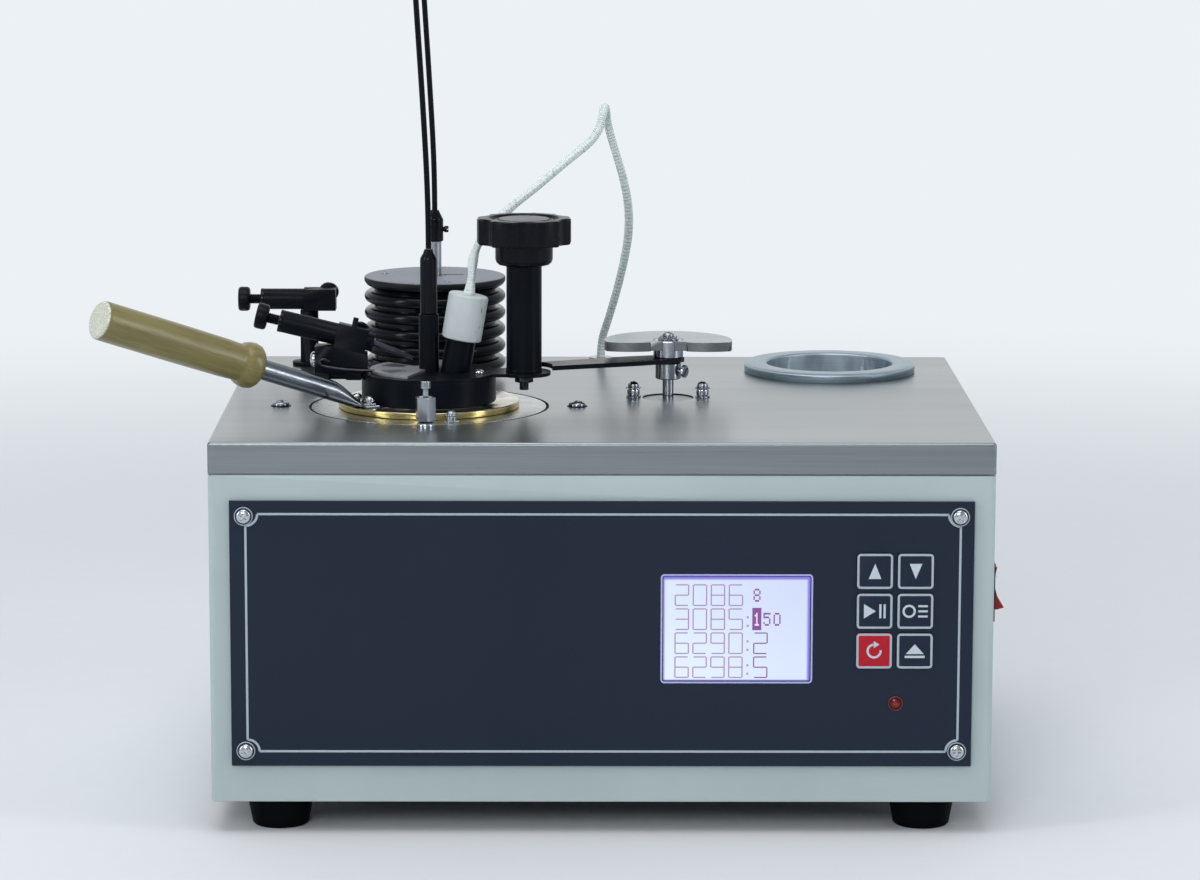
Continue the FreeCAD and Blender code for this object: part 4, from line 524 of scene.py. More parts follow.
@dataclass(frozen=True)
class DotLens(Finish):
    """Small dark red lens, lighter red towards its middle."""

    heart: Colour
    centre: Triple

    def dress(self, sheet: Sheet) -> None:
        """Adds the finish's nodes."""
        across, _, height = sheet.parts(sheet.spread(centre=self.centre))
        radius = (across * across + height * height).root()
        mottle = sheet.noise(sheet.place, 1400.0)
        near = 1.0 - (radius + mottle * (0.6 * MM)).ramp(0.7 * MM, 1.9 * MM)
        sheet.paint(
            Base_Color=sheet.blend(near, self.colour, self.heart),
            Coat_Weight=0.4, Coat_Roughness=0.1, Specular_IOR_Level=0.3,
        )


@dataclass(frozen=True)
class ScuffedPlastic(Finish):
    """Pale turned plastic with faint tool rings and small grey scuffs on one side."""

    centre: Triple
    lean: float

    def dress(self, sheet: Sheet) -> None:
        """Adds the finish's nodes."""
        place = sheet.spread(centre=self.centre, turn=(0, -self.lean, 0))
        across, _, along = sheet.parts(place)
        rings = sheet.noise(sheet.joined(0.0, 0.0, along), 2600.0)
        streak = sheet.noise(sheet.mapped(place, Scale=(900, 900, 160)), 1.0, 3.0)
        patch = sheet.noise(place, 260.0).ramp(0.5, 0.62) * across.ramp(4.5 * MM, 7.0 * MM)
        cloud = sheet.noise(sheet.place, 60.0, 3.0).ramp(0.3, 0.7)
        scuff = streak.ramp(0.5, 0.6) * patch * 0.85
        base = sheet.tones(cloud, self.colour, 0.93, 1.05)
        sheet.paint(
            Base_Color=sheet.blend(scuff, base, shaded(self.colour, 0.22)),
            Roughness=self.roughness + rings * 0.1,
            Normal=sheet.bump(rings, 0.02, 0.4, sheet.eased(0.5)),
        )


@dataclass(frozen=True)
class Lacquered(Finish):
    """Turned and lacquered wood, its grain along the handle and its end grain chalky."""

    late: Colour
    chalk: tuple[Colour, Colour]
    centre: Triple
    azimuth: float
    rise: float
    length: float

    def dress(self, sheet: Sheet) -> None:
        """Adds the finish's nodes."""
        level = sheet.spread(centre=self.centre, turn=(0, 0, -self.azimuth))
        along = sheet.mapped(level, Rotation=(0, math.radians(self.rise), 0))
        grain = sheet.noise(sheet.mapped(along, Scale=(22, 260, 260)), 1.0, 4.0, 0.6)
        pores = sheet.noise(sheet.mapped(along, Scale=(110, 1500, 1500)), 1.0)
        cloud = sheet.noise(sheet.place, 40.0)
        tone = (grain * 0.75 + cloud * 0.25).ramp(0.38, 0.68)
        wood = sheet.blend(tone, self.colour, self.late)
        speckled = sheet.blend(pores.ramp(0.55, 0.72) * 0.45, wood, shaded(self.late, 0.6))
        end = (sheet.parts(along)[0] * (1 / MM) + pores * 0.6).ramp(self.length - 0.9, self.length - 0.1)
        sheet.paint(
            Base_Color=sheet.blend(end, speckled, sheet.blend(pores.ramp(0.4, 0.7), *self.chalk)),
            Roughness=self.roughness + grain * 0.12,
            Normal=sheet.bump(grain + pores * 0.3, 0.03, 0.25),
            Coat_Weight=0.4, Coat_Roughness=0.2,
        )


@dataclass(frozen=True)
class Sleeve(Finish):
    """Braided glass-fibre sleeve, its weave running with the cord's own UV map."""

    length: float
    weave_pitch: float = 1.5
    fleck: Colour = (0.3, 0.3, 0.25, 1.0)

    def dress(self, sheet: Sheet) -> None:
        """Adds the finish's nodes."""
        along, turn, _ = sheet.parts(sheet.node("ShaderNodeUVMap").outputs[0])
        steps = self.length / self.weave_pitch
        left = (along * (steps * math.pi) + turn * (4 * math.pi)).sine()
        right = (along * (steps * math.pi) - turn * (4 * math.pi)).sine()
        weave = left * right
        patch = sheet.noise(sheet.joined(along * self.length * 0.35, turn * 3.0), 1.0).ramp(0.52, 0.62)
        strand = left.ramp(0.35, 0.8) * patch
        # Painted shade: the weave's hollows are a little darker than its crests.
        base = sheet.tones((weave * 0.5 + 0.5).ramp(0.0, 1.0), self.colour, 0.9, 1.0)
        sheet.paint(
            Base_Color=sheet.blend(strand * 0.4, base, self.fleck), Normal=sheet.bump(weave, 0.25, 0.8),
            Sheen_Weight=0.2, Sheen_Roughness=0.5,
        )


@dataclass(frozen=True)
class FacedMetal(Finish):
    """Blackened metal whose upper face is painted paler than its sides, a painted sheen."""

    top: Colour

    def dress(self, sheet: Sheet) -> None:
        """Adds the finish's nodes."""
        fine = sheet.noise(sheet.place, 900.0, 3.0)
        cloud = sheet.noise(sheet.place, 60.0, 3.0)
        # Painted sheen: the upper face takes the paler top colour, varied by noise.
        wear_and_sheen = sheet.tones((fine * 0.5 + cloud * 0.5).ramp(0.3, 0.7), self.top, 0.85, 1.1)
        sheet.paint(
            Base_Color=sheet.blend(sheet.facing(), self.colour, wear_and_sheen),
            Roughness=self.roughness + cloud * 0.15,
            Normal=sheet.bump(fine, 0.005, 0.3, sheet.eased(0.2)),
            Specular_IOR_Level=0.25,
        )


CUP_CENTRE = (CUP_X, CUP_Y, TOP)
UNLIT = (0.02, 0.02, 0.02, 1.0)
SKY = srgb(236, 241, 246)
LCD_WINDOW = (24.7, 88.6, 65.8, 112.6)

CASE_PAINT = PowderCoat("case_powder_coat", srgb(172, 187, 189), 0.5)
# The fourth number of a brushed steel is the share of its colour kept on upright sides, a painted shade; the
# cam plate's edges are shaded most.
COVER_STEEL = BrushedSteel("cover_brushed_steel", srgb(153, 161, 164), 0.3, 0.8)
CAM_STEEL = BrushedSteel("cam_steel", srgb(190, 196, 200), 0.42, 0.38)
SHUTTER_STEEL = BrushedSteel("shutter_steel", srgb(120, 128, 138), 0.36)
PANEL_FILM = PanelFilm("panel_navy_film", srgb(23, 34, 51), 0.5)
KEY_FILM = PanelFilm("key_navy_film", srgb(24, 34, 53), 0.45)
KEY_RED = PanelFilm("key_red_film", srgb(176, 22, 42), 0.42)
SILVER_INK = Ink("silver_ink", srgb(166, 178, 190), 0.4)
PALE_INK = Ink("pale_ink", srgb(192, 204, 212), 0.5)
LCD_RIM = Ink("lcd_rim_lilac", srgb(176, 176, 226), 0.4)
LCD_MAUVE = Lit("lcd_mauve", srgb(164, 132, 184), 0.4)
LCD_PLUM = Lit("lcd_plum", srgb(132, 66, 148), 0.4)
LCD_LIGHT = Lit("lcd_light", srgb(232, 232, 250), 0.4)
# Its violet border colour is painted shade of the window's recessed edges.
LCD_FIELD = Backlit("lcd_backlit", srgb(226, 240, 255), 0.4, srgb(124, 112, 222), LCD_WINDOW)
RUBBER = Moulded("foot_rubber", srgb(8, 10, 14), 0.6, 500.0, 0.05, shine=0.04)
BLACK_PLASTIC = Moulded("moulded_black", srgb(10, 13, 19), 0.38, shine=0.12)
BAKELITE = Moulded("knob_bakelite", srgb(9, 12, 19), 0.28, 300.0, shine=0.14)
CABLE_BLACK = Moulded("shaft_black", srgb(8, 10, 16), 0.34, 900.0, 0.02, shine=0.12)
SWITCH_RED = Moulded("switch_red", srgb(150, 18, 26), 0.3, 500.0, 0.006, 0.1, 0.3)
LED_RING = Moulded("lamp_ring_brown", srgb(150, 58, 60), 0.4)
BOARD_GREEN = Moulded("board_green", srgb(24, 84, 52), 0.45)
CERAMIC = Moulded("heater_ceramic", srgb(206, 196, 178), 0.6)
CORE = Moulded("transformer_core", srgb(122, 84, 54), 0.5)
CAST = Moulded("furnace_cast", srgb(96, 98, 100), 0.7, 500.0, 0.08)
CHROME = PolishedMetal("chrome_plated", srgb(196, 200, 206), 0.14)
BRIGHT_STEEL = PolishedMetal("bright_steel", srgb(168, 173, 180), 0.18)
BUSH_STEEL = PolishedMetal("bush_steel", srgb(150, 156, 160), 0.34)
DULL_STEEL = PolishedMetal("dull_steel", srgb(120, 124, 130), 0.36)
ROD_STEEL = PolishedMetal("rod_steel", srgb(128, 133, 140), 0.17, 0.14)
BLUED_STEEL = PolishedMetal("nozzle_blued_steel", srgb(62, 64, 70), 0.3)
BOLT_DARK = PolishedMetal("bolt_dark", srgb(66, 70, 76), 0.3)
PLATE_STEEL = TurnedMetal("furnace_plate_steel", srgb(186, 192, 194), 0.3, CUP_CENTRE, 0.8)
# The cup's pale grey top colour is a painted reflection on its faces that look upwards.
BRASS = TurnedMetal(
    "cup_brass", srgb(206, 184, 120), 0.2, CUP_CENTRE, 0.6, wear_and_sheen=0.12, top=srgb(196, 193, 180),
)
RING_ALLOY = TurnedMetal("rest_ring_alloy", srgb(176, 190, 199), 0.46, (107.1, 81.0, TOP), 0.5, 0.006)
# The pale top colours of the cap and the knob's insert are painted sheen on their upper faces.
CAP_BLACK = FacedMetal("cap_black", srgb(10, 13, 19), 0.4, srgb(126, 131, 142))
KNOB_INSERT = FacedMetal("knob_insert_grey", srgb(20, 20, 25), 0.35, srgb(112, 108, 118))
BLACK_ENAMEL = BlackMetal("lid_black", srgb(9, 13, 20), 0.36)
TOWER_BLACK = BlackMetal("tower_black", srgb(8, 11, 17), 0.2, 0.25, shine=0.16)
ARM_BLACK = BlackMetal("arm_black", srgb(12, 17, 25), 0.3, 0.3, shine=0.14)
PLUG_WHITE = ScuffedPlastic("plug_white", srgb(194, 203, 205), 0.42, (-59.57, -27.0, 207.7), 10.0)
GLASS_FIBRE = Sleeve("lead_glass_sleeve", srgb(222, 233, 232), 0.7, 275.0)


# Meshes


def smooth_line(
    name: str, points: list[Triple], radius: float, steps: int, round_steps: int
) -> bpy.types.Object:
    """Round bar along one smooth open spline that given points lead.

    Args:
        name: Name of the object and its curve.
        points: Control points of the spline.
        radius: Radius of the bar.
        steps: Steps of the curve between two points.
        round_steps: Blender's steps round a quarter of the bar.

    Returns:
        The curve's object, linked to the scene.
    """
    data = bpy.data.curves.new(name, "CURVE")
    data.dimensions = "3D"
    line = data.splines.new("NURBS")
    line.points.add(len(points) - 1)
    for knot, place in zip(line.points, points):
        knot.co = (*place, 1.0)
    line.order_u = 3
    line.use_endpoint_u = True
    line.resolution_u = steps
    data.bevel_depth = radius
    data.bevel_resolution = round_steps
    data.use_fill_caps = True
    item = bpy.data.objects.new(name, data)
    bpy.context.scene.collection.objects.link(item)
    return item


class Workpiece:
    """A mesh in the making, in millimetres of the shared frame."""

    def __init__(self) -> None:
        """Starts an empty mesh."""
        self.mesh = bmesh.new()

    @classmethod
    def turned(cls, outline: list[Pair], steps: int = 96, closed: bool = False) -> "Workpiece":
        """Spins an outline round the Z axis.

        Args:
            outline: Points as (radius, height) in mm.
            steps: Number of steps round the axis.
            closed: Whether the last point joins the first.

        Returns:
            The turned piece.
        """
        work = cls()
        points = [work.mesh.verts.new((radius, 0, height)) for radius, height in outline]
        pairs = list(zip(points, points[1:])) + ([(points[-1], points[0])] if closed else [])
        edges = [work.mesh.edges.new(pair) for pair in pairs]
        bmesh.ops.spin(
            work.mesh, geom=points + edges, cent=(0, 0, 0), axis=(0, 0, 1),
            angle=math.tau, steps=steps, use_merge=True,
        )
        return work.sound()

    @classmethod
    def block(cls, low: Triple, high: Triple) -> "Workpiece":
        """Box between two corners."""
        work = cls()
        size = [b - a for a, b in zip(low, high)]
        middle = [(a + b) / 2 for a, b in zip(low, high)]
        matrix = Matrix.Translation(middle) @ Matrix.Diagonal((*size, 1))
        bmesh.ops.create_cube(work.mesh, size=1.0, matrix=matrix)
        return work

    @classmethod
    def prism(cls, radius: float, sides: int, height: float) -> "Workpiece":
        """Upright prism standing on the origin."""
        work = cls()
        bmesh.ops.create_cone(
            work.mesh, cap_ends=True, segments=sides, radius1=radius, radius2=radius,
            depth=height, matrix=Matrix.Translation((0, 0, height / 2)),
        )
        return work

    @classmethod
    def tile(cls, width: float, height: float, corner: float = 0.0, segments: int = 8) -> "Workpiece":
        """Flat rectangle in the XY plane with rounded corners."""
        work = cls()
        matrix = Matrix.Diagonal((width / 2, height / 2, 1, 1))
        bmesh.ops.create_grid(work.mesh, x_segments=1, y_segments=1, size=1.0, matrix=matrix)
        if corner:
            bmesh.ops.bevel(
                work.mesh, geom=work.mesh.verts[:], offset=corner, affect="VERTICES",
                segments=segments, profile=0.5, material=-1,
            )
        return work

    @classmethod
    def sawn(cls, outline: list[Pair], height: float) -> "Workpiece":
        """Flat plate with a straight-edged outline in the XY plane."""
        work = cls()
        work.mesh.faces.new([work.mesh.verts.new((x, y, 0)) for x, y in outline])
        return work.thickened(height)

    @classmethod
    def wire(cls, points: list[Triple], radius: float) -> "Workpiece":
        """Round wire bent along one smooth line through given points."""
        item = smooth_line("wire", points, radius, 10, 4)
        bpy.context.view_layer.update()
        shape = bpy.data.meshes.new_from_object(item.evaluated_get(bpy.context.evaluated_depsgraph_get()))
        bpy.data.objects.remove(item)
        work = cls()
        work.mesh.from_mesh(shape)
        bpy.data.meshes.remove(shape)
        return work.sound()

    def sound(self) -> "Workpiece":
        """Merges doubles and turns the faces outwards."""
        bmesh.ops.remove_doubles(self.mesh, verts=self.mesh.verts[:], dist=1e-4)
        bmesh.ops.recalc_face_normals(self.mesh, faces=self.mesh.faces[:])
        return self

    def framed(self, width: float) -> "Workpiece":
        """Keeps only a frame of this width along the outline."""
        bmesh.ops.inset_region(
            self.mesh, faces=self.mesh.faces[:], thickness=width, use_even_offset=True, use_boundary=True,
        )
        inner = min(self.mesh.faces, key=lambda face: face.calc_center_bounds().length - len(face.verts))
        bmesh.ops.delete(self.mesh, geom=[inner], context="FACES_ONLY")
        return self

    def thickened(self, height: float) -> "Workpiece":
        """Gives flat faces a thickness along Z."""
        made = bmesh.ops.extrude_face_region(self.mesh, geom=self.mesh.faces[:], use_keep_orig=True)
        moved = [item for item in made["geom"] if isinstance(item, bmesh.types.BMVert)]
        bmesh.ops.translate(self.mesh, verts=moved, vec=(0, 0, height))
        return self.sound()

    def eased(self, width: float, segments: int = 2, angle: float = 30.0) -> "Workpiece":
        """Bevels the edges that are sharper than an angle."""
        limit = math.radians(angle)
        sharp = [edge for edge in self.mesh.edges if edge.is_manifold and edge.calc_face_angle(0.0) > limit]
        bmesh.ops.bevel(
            self.mesh, geom=sharp, offset=width, affect="EDGES", segments=segments,
            profile=0.5, material=-1, clamp_overlap=True,
        )
        return self

    def transformed(self, matrix: Matrix) -> "Workpiece":
        """Applies a matrix to the whole piece."""
        bmesh.ops.transform(self.mesh, matrix=matrix, verts=self.mesh.verts[:])
        if matrix.determinant() < 0:
            bmesh.ops.reverse_faces(self.mesh, faces=self.mesh.faces[:])
        return self

    def moved(self, x: float, y: float, z: float) -> "Workpiece":
        """Moves the piece."""
        return self.transformed(Matrix.Translation((x, y, z)))

    def upright(self, x: float, y: float, z: float) -> "Workpiece":
        """Stands a flat piece up, facing the front, and moves it."""
        return self.spun(90, "X").moved(x, y, z)

    def fronted(self, x: float, z: float) -> "Workpiece":
        """Sets a piece that stands on the origin on the front panel."""
        return self.aimed(-BACK).moved(x, PANEL_FACE, z)

    def spun(self, degrees: float, axis: str = "Z") -> "Workpiece":
        """Turns the piece about an axis through the origin."""
        return self.transformed(Matrix.Rotation(math.radians(degrees), 4, axis))

    def aimed(self, direction: Vector) -> "Workpiece":
        """Turns the piece's Z axis to a direction."""
        return self.transformed(UP.rotation_difference(direction.normalized()).to_matrix().to_4x4())

    def joined(self, *others: "Workpiece") -> "Workpiece":
        """Takes other pieces into this one."""
        for other in others:
            spare = bpy.data.meshes.new("spare")
            other.mesh.to_mesh(spare)
            self.mesh.from_mesh(spare)
            bpy.data.meshes.remove(spare)
        return self

    def framed_on(self, origin: Vector, along: Vector) -> "Workpiece":
        """Sets the piece's Z axis along a direction, its X axis level and its Y axis upwards."""
        across = UP.cross(along).normalized()
        over = along.cross(across)
        turn = Matrix((across, over, along)).transposed().to_4x4()
        return self.transformed(Matrix.Translation(origin) @ turn)

    def copied(self) -> "Workpiece":
        """A second piece of the same shape."""
        work = Workpiece()
        work.mesh = self.mesh.copy()
        return work

    def carved(self, cutter: "Workpiece") -> "Workpiece":
        """Cuts another piece's shape out of this one."""
        made = [work.loose() for work in (self, cutter)]
        change = made[0].modifiers.new("cut", "BOOLEAN")
        change.operation, change.solver, change.object = "DIFFERENCE", "EXACT", made[1]
        bpy.context.view_layer.update()
        shape = made[0].evaluated_get(bpy.context.evaluated_depsgraph_get())
        result = Workpiece()
        result.mesh.from_mesh(shape.to_mesh())
        for item in made:
            bpy.data.objects.remove(item)
        return result

    def loose(self) -> bpy.types.Object:
        """An object with this piece's mesh in millimetres, for a cut."""
        mesh = bpy.data.meshes.new("loose")
        self.mesh.to_mesh(mesh)
        item = bpy.data.objects.new("loose", mesh)
        bpy.context.scene.collection.objects.link(item)
        return item


class Assembly:
    """Ways in which each sub-assembly dresses CAD nodes and places its own pieces."""

    def dress(self, node: str, finish: Finish) -> None:
        """Gives a CAD node that stays as it is its finish."""
        item = frame["nodes"][node]
        item.data.materials.clear()
        item.data.materials.append(finish.material())
        LOG.info("%s keeps its CAD shape in %s", node, finish.name)

    def skin(self, node: str, finish: Finish, angle: float = 32.0) -> bpy.types.Object:
        """Replaces a node by a merged copy of it whose round faces are smooth.

        Args:
            node: Name of the CAD node.
            finish: Finish of the copy.
            angle: Edges sharper than this many degrees stay sharp.

        Returns:
            The new piece.
        """
        work = Workpiece()
        work.mesh.from_mesh(frame["nodes"][node].data)
        bmesh.ops.remove_doubles(work.mesh, verts=work.mesh.verts[:], dist=2e-6)
        work.transformed(Matrix.Scale(1 / MM, 4))
        return self.stand_in(work, f"{node}_smooth", finish, node, angle)

    def stand_in(
        self, work: Workpiece, name: str, finish: Finish, node: str, angle: float = 32.0
    ) -> bpy.types.Object:
        """Places a workpiece instead of a CAD node, on the node's own body."""
        return self.place(work, name, finish, BODY_OF[node], SLOT_OF[node], (node,), angle)

    def place(
        self,
        work: Workpiece,
        name: str,
        finish: Finish,
        body: str,
        slot: str,
        replaces: tuple[str, ...] = (),
        angle: float = 32.0,
    ) -> bpy.types.Object:
        """Turns a workpiece into a finished piece of the object.

        Args:
            work: Mesh in millimetres of the shared frame.
            name: Name of the piece.
            finish: Its finish.
            body: CAD body that it rides on.
            slot: Material slot of the record; not used.
            replaces: CAD nodes that it stands for.
            angle: Edges sharper than this many degrees stay sharp.

        Returns:
            The piece.
        """
        work.transformed(Matrix.Scale(MM, 4))
        mesh = bpy.data.meshes.new(name)
        work.mesh.to_mesh(mesh)
        work.mesh.free()
        mesh.polygons.foreach_set("use_smooth", [True] * len(mesh.polygons))
        mesh.set_sharp_from_angle(angle=math.radians(angle))
        mesh.materials.append(finish.material())
        piece = bpy.data.objects.new(name, mesh)
        bpy.context.scene.collection.objects.link(piece)
        even = piece.modifiers.new("even_shading", "WEIGHTED_NORMAL")
        even.keep_sharp = True
        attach(piece, body)
        if replaces:
            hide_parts(*replaces)
        LOG.info("%s rides on %s in %s", name, body, finish.name)
        return piece


def cross_head(radius: float, height: float, recess: float = 0.5) -> Workpiece:
    """Domed screw head with a cross recess, standing on the origin.

    Args:
        radius: Radius of the head in mm.
        height: Height of its dome in mm.
        recess: Half width of the recess' arms in mm.

    Returns:
        The head.
    """
    steps = 8
    turns = [step / steps * math.pi / 2 for step in range(steps + 1)]
    dome = [(radius * math.sin(turn), height * (0.35 + 0.65 * math.cos(turn))) for turn in turns]
    head = Workpiece.turned([*dome, (radius * 0.97, 0), (0, 0)], 40)
    arm, floor, over = radius * 0.62, height * 0.35, height * 1.5
    head = head.carved(Workpiece.block((-arm, -recess, floor), (arm, recess, over)))
    return head.carved(Workpiece.block((-recess, -arm, floor), (recess, arm, over)))


def thread(radius: float, length: float, pitch: float = 0.5, steps: int = 24) -> Workpiece:
    """Threaded tip standing on the origin, with its crests as rings."""
    outline = [(0.0, 0.0), (radius, 0.0)]
    count = int(length / pitch)
    for i in range(count):
        outline += [(radius - pitch * 0.35, (i + 0.5) * pitch), (radius, (i + 0.92) * pitch)]
    outline += [(radius * 0.75, length), (0.0, length)]
    return Workpiece.turned(outline, steps)


def star_washer(outer: float, inner: float, height: float, teeth: int = 12) -> Workpiece:
    """Toothed lock washer standing on the origin.

    Args:
        outer: Radius over the teeth in mm.
        inner: Radius of the hole in mm.
        height: Thickness in mm.
        teeth: Number of teeth.

    Returns:
        The washer.
    """
    work = Workpiece.turned([(inner, 0), (outer, 0), (outer, height), (inner, height)], teeth * 4, True)
    for vert in work.mesh.verts:
        radius = vert.co.xy.length
        phase = int(round(math.atan2(vert.co.y, vert.co.x) / math.tau * teeth * 4)) % 4
        if radius > (outer + inner) / 2 and phase in (2, 3):
            vert.co.xy *= (outer * 0.82) / radius
        elif radius > (outer + inner) / 2:
            vert.co.z += height * 0.25 * (1 if phase == 0 else -1)
    return work


# Room and camera


@dataclass
class Studio:
    """Pale floor, soft lights and the camera at the photograph's angle."""

    camera_at: Triple = (-13.3, -1880.4, 461.3)
    pitch: float = 9.446
    yaw: float = 0.403
    roll: float = 0.147
    lens: float = 127.9
    floor: Colour = (0.74, 0.765, 0.79, 1.0)
    air: tuple[tuple[float, Colour], ...] = (
        (0.0, (0.16, 0.17, 0.19, 1.0)), (0.5, (0.34, 0.36, 0.39, 1.0)),
        (0.8, (0.70, 0.73, 0.78, 1.0)), (1.0, (1.0, 1.0, 1.0, 1.0)),
    )
    mirror: tuple[tuple[float, Colour], ...] = (
        (0.0, (0.36, 0.38, 0.41, 1.0)), (0.5, (0.38, 0.40, 0.43, 1.0)),
        (0.8, (0.52, 0.56, 0.60, 1.0)), (1.0, (1.0, 1.0, 1.0, 1.0)),
    )

    def camera(self) -> None:
        """Makes the camera and makes it the scene's."""
        yaw, pitch, roll = (math.radians(v) for v in (self.yaw, self.pitch, self.roll))
        ahead = Vector((math.sin(yaw) * math.cos(pitch), math.cos(yaw) * math.cos(pitch), -math.sin(pitch)))
        right = Vector((math.cos(yaw), -math.sin(yaw), 0))
        up = right.cross(ahead)
        right = right * math.cos(roll) + up * math.sin(roll)
        up = right.cross(ahead)
        turn = Matrix((right, up, -ahead)).transposed().to_4x4()
        data = bpy.data.cameras.new("photo_camera")
        data.lens = self.lens
        data.sensor_width = 36.0
        data.clip_end = 100.0
        item = bpy.data.objects.new("photo_camera", data)
        item.matrix_world = Matrix.Translation(Vector(self.camera_at) * MM) @ turn
        bpy.context.scene.collection.objects.link(item)
        bpy.context.scene.camera = item

    def ground(self) -> None:
        """Makes the floor, which fades to plain white away from the object."""
        sheet = Sheet("studio_floor")
        across, along, _ = sheet.parts(sheet.place)
        distance = (across * across + along * along).root()
        fade = distance.ramp(0.45, 1.5)
        seen = Term(sheet, sheet.node("ShaderNodeLightPath").outputs["Is Camera Ray"])
        grain = sheet.noise(sheet.place, 90.0)
        sheet.paint(
            Base_Color=sheet.tones(grain, self.floor, 0.985, 1.01), Roughness=0.7, Specular_IOR_Level=0.2,
        )
        white = sheet.node("ShaderNodeEmission", {}, {"Color": SKY, "Strength": 1.0}).outputs[0]
        mix = sheet.node("ShaderNodeMixShader", {}, {0: fade * seen, 1: sheet.shader.outputs[0], 2: white})
        sheet.give(sheet.tree.nodes["Material Output"].inputs["Surface"], mix.outputs[0])
        work = Workpiece()
        bmesh.ops.create_grid(work.mesh, x_segments=24, y_segments=24, size=12.0)
        mesh = bpy.data.meshes.new("floor")
        work.mesh.to_mesh(mesh)
        mesh.materials.append(sheet.material)
        item = bpy.data.objects.new("floor", mesh)
        bpy.context.scene.collection.objects.link(item)

    def lamp(self, name: str, place: Triple, aim: Triple, size: Pair, power: float) -> None:
        """Makes one soft lamp.

        Args:
            name: Name of the lamp.
            place: Where it hangs, in metres.
            aim: Point that it faces, in metres.
            size: Its width and height in metres.
            power: Its power in watts.
        """
        data = bpy.data.lights.new(name, "AREA")
        data.shape = "RECTANGLE"
        data.size, data.size_y = size
        data.energy = power
        item = bpy.data.objects.new(name, data)
        item.location = place
        item.rotation_euler = (Vector(aim) - Vector(place)).to_track_quat("-Z", "Y").to_euler()
        bpy.context.scene.collection.objects.link(item)

    def lights(self) -> None:
        """Makes the lamps and the pale surroundings."""
        self.lamp("top_softbox", (-0.2, -0.35, 1.9), (0.0, 0.0, 0.1), (1.5, 1.2), 15.0)
        self.lamp("left_softbox", (-1.7, -0.9, 0.9), (0.0, 0.0, 0.18), (0.4, 1.3), 9.0)
        self.lamp("right_softbox", (1.7, -0.7, 0.8), (0.0, 0.0, 0.18), (0.4, 1.3), 8.0)
        self.lamp("front_softbox", (-0.5, -2.6, 1.3), (0.0, 0.0, 0.15), (1.0, 0.8), 20.0)
        self.world()
        bpy.context.scene.view_settings.view_transform = "Standard"

    def world(self) -> None:
        """Makes the surroundings: one for light, one for mirrors and plain white behind the object."""
        world = bpy.data.worlds.new("studio_air")
        bpy.context.scene.world = world
        world.use_nodes = True
        world.node_tree.nodes.clear()
        air = Nodes(world.node_tree)
        path = air.node("ShaderNodeLightPath").outputs
        place = air.node("ShaderNodeTexCoord").outputs["Generated"]
        along = air.node("ShaderNodeSeparateXYZ", {}, {0: place}).outputs["Y"]
        share = air.node("ShaderNodeMapRange", {}, {"From Min": -1.0, "Value": along}).outputs["Result"]
        rays = {0: path["Is Glossy Ray"], 1: path["Is Transmission Ray"]}
        mirrored = air.node("ShaderNodeMath", {"operation": "MAXIMUM"}, rays).outputs[0]
        backs = []
        for stops in (self.air, self.mirror):
            ramp = air.node("ShaderNodeValToRGB", {"stops": stops}, {0: share})
            backs.append(air.node("ShaderNodeBackground", {}, {"Color": ramp.outputs[0]}).outputs[0])
        white = air.node("ShaderNodeBackground", {}, {"Color": SKY}).outputs[0]
        lit = air.node("ShaderNodeMixShader", {}, {0: mirrored, 1: backs[0], 2: backs[1]}).outputs[0]
        mix = air.node("ShaderNodeMixShader", {}, {0: path["Is Camera Ray"], 1: lit, 2: white}).outputs[0]
        air.node("ShaderNodeOutputWorld", {}, {"Surface": mix})


# The tester


@dataclass
class Cord(Assembly):
    """A free cord on one smooth spline through given points."""

    name: str
    node: str
    finish: Finish
    radius: float
    length: float
    points: list[Triple]
    stiffness: str
    lay: str
    widths: dict[int, float]

    def build(self) -> bpy.types.Object:
        route = [tuple(Vector(place) * MM) for place in self.points]
        item = smooth_line(self.name, route, self.radius * MM, 16, 6)
        for number, knot in enumerate(item.data.splines[0].points):
            knot.radius = self.widths.get(number, 1.0)
        item.data.materials.append(self.finish.material())
        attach(item, BODY_OF[self.node])
        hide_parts(self.node)
        2 * self.radius * MM
        LOG.info("%s runs %.0f mm in %s", self.name, self.length, self.finish.name)
        return item


LEAD_POINTS = [
    (-57.8, -27.0, 217.6), (-56.6, -27.0, 224.6), (-56.4, -23.4, 231.2), (-55.1, -16.2, 236.4),
    (-51.9, -8.4, 241.0), (-46.6, -0.6, 246.6), (-39.6, 6.2, 252.7), (-27.8, 14.4, 261.0),
    (-15.2, 21.6, 271.3), (-5.2, 27.6, 278.8), (-0.6, 31.0, 284.2), (1.0, 33.0, 291.3),
    (1.9, 38.2, 294.6), (2.6, 43.6, 291.6), (3.4, 45.6, 285.2), (6.4, 48.4, 274.6),
    (10.4, 54.0, 261.6), (13.2, 62.4, 247.4), (13.6, 73.4, 233.0), (11.5, 85.0, 218.4),
    (8.2, 95.6, 202.8), (4.2, 104.4, 187.8), (1.0, 111.2, 177.2), (1.0, 111.2, 168.4),
]
FLEX_POINTS = [
    (-75.5, -27.0, 237.7), (-75.5, -27.0, 258.0), (-77.6, -27.5, 300.0), (-80.5, -27.0, 345.0),
    (-82.6, -26.0, 381.0), (-84.0, -9.8, 403.4), (-84.6, 16.4, 412.0), (-84.0, 43.6, 403.4),
    (-82.4, 60.6, 380.0), (-80.0, 61.2, 342.0), (-77.4, 60.4, 300.0), (-75.5, 60.0, 264.0),
    (-75.5, 60.0, 245.0),
]


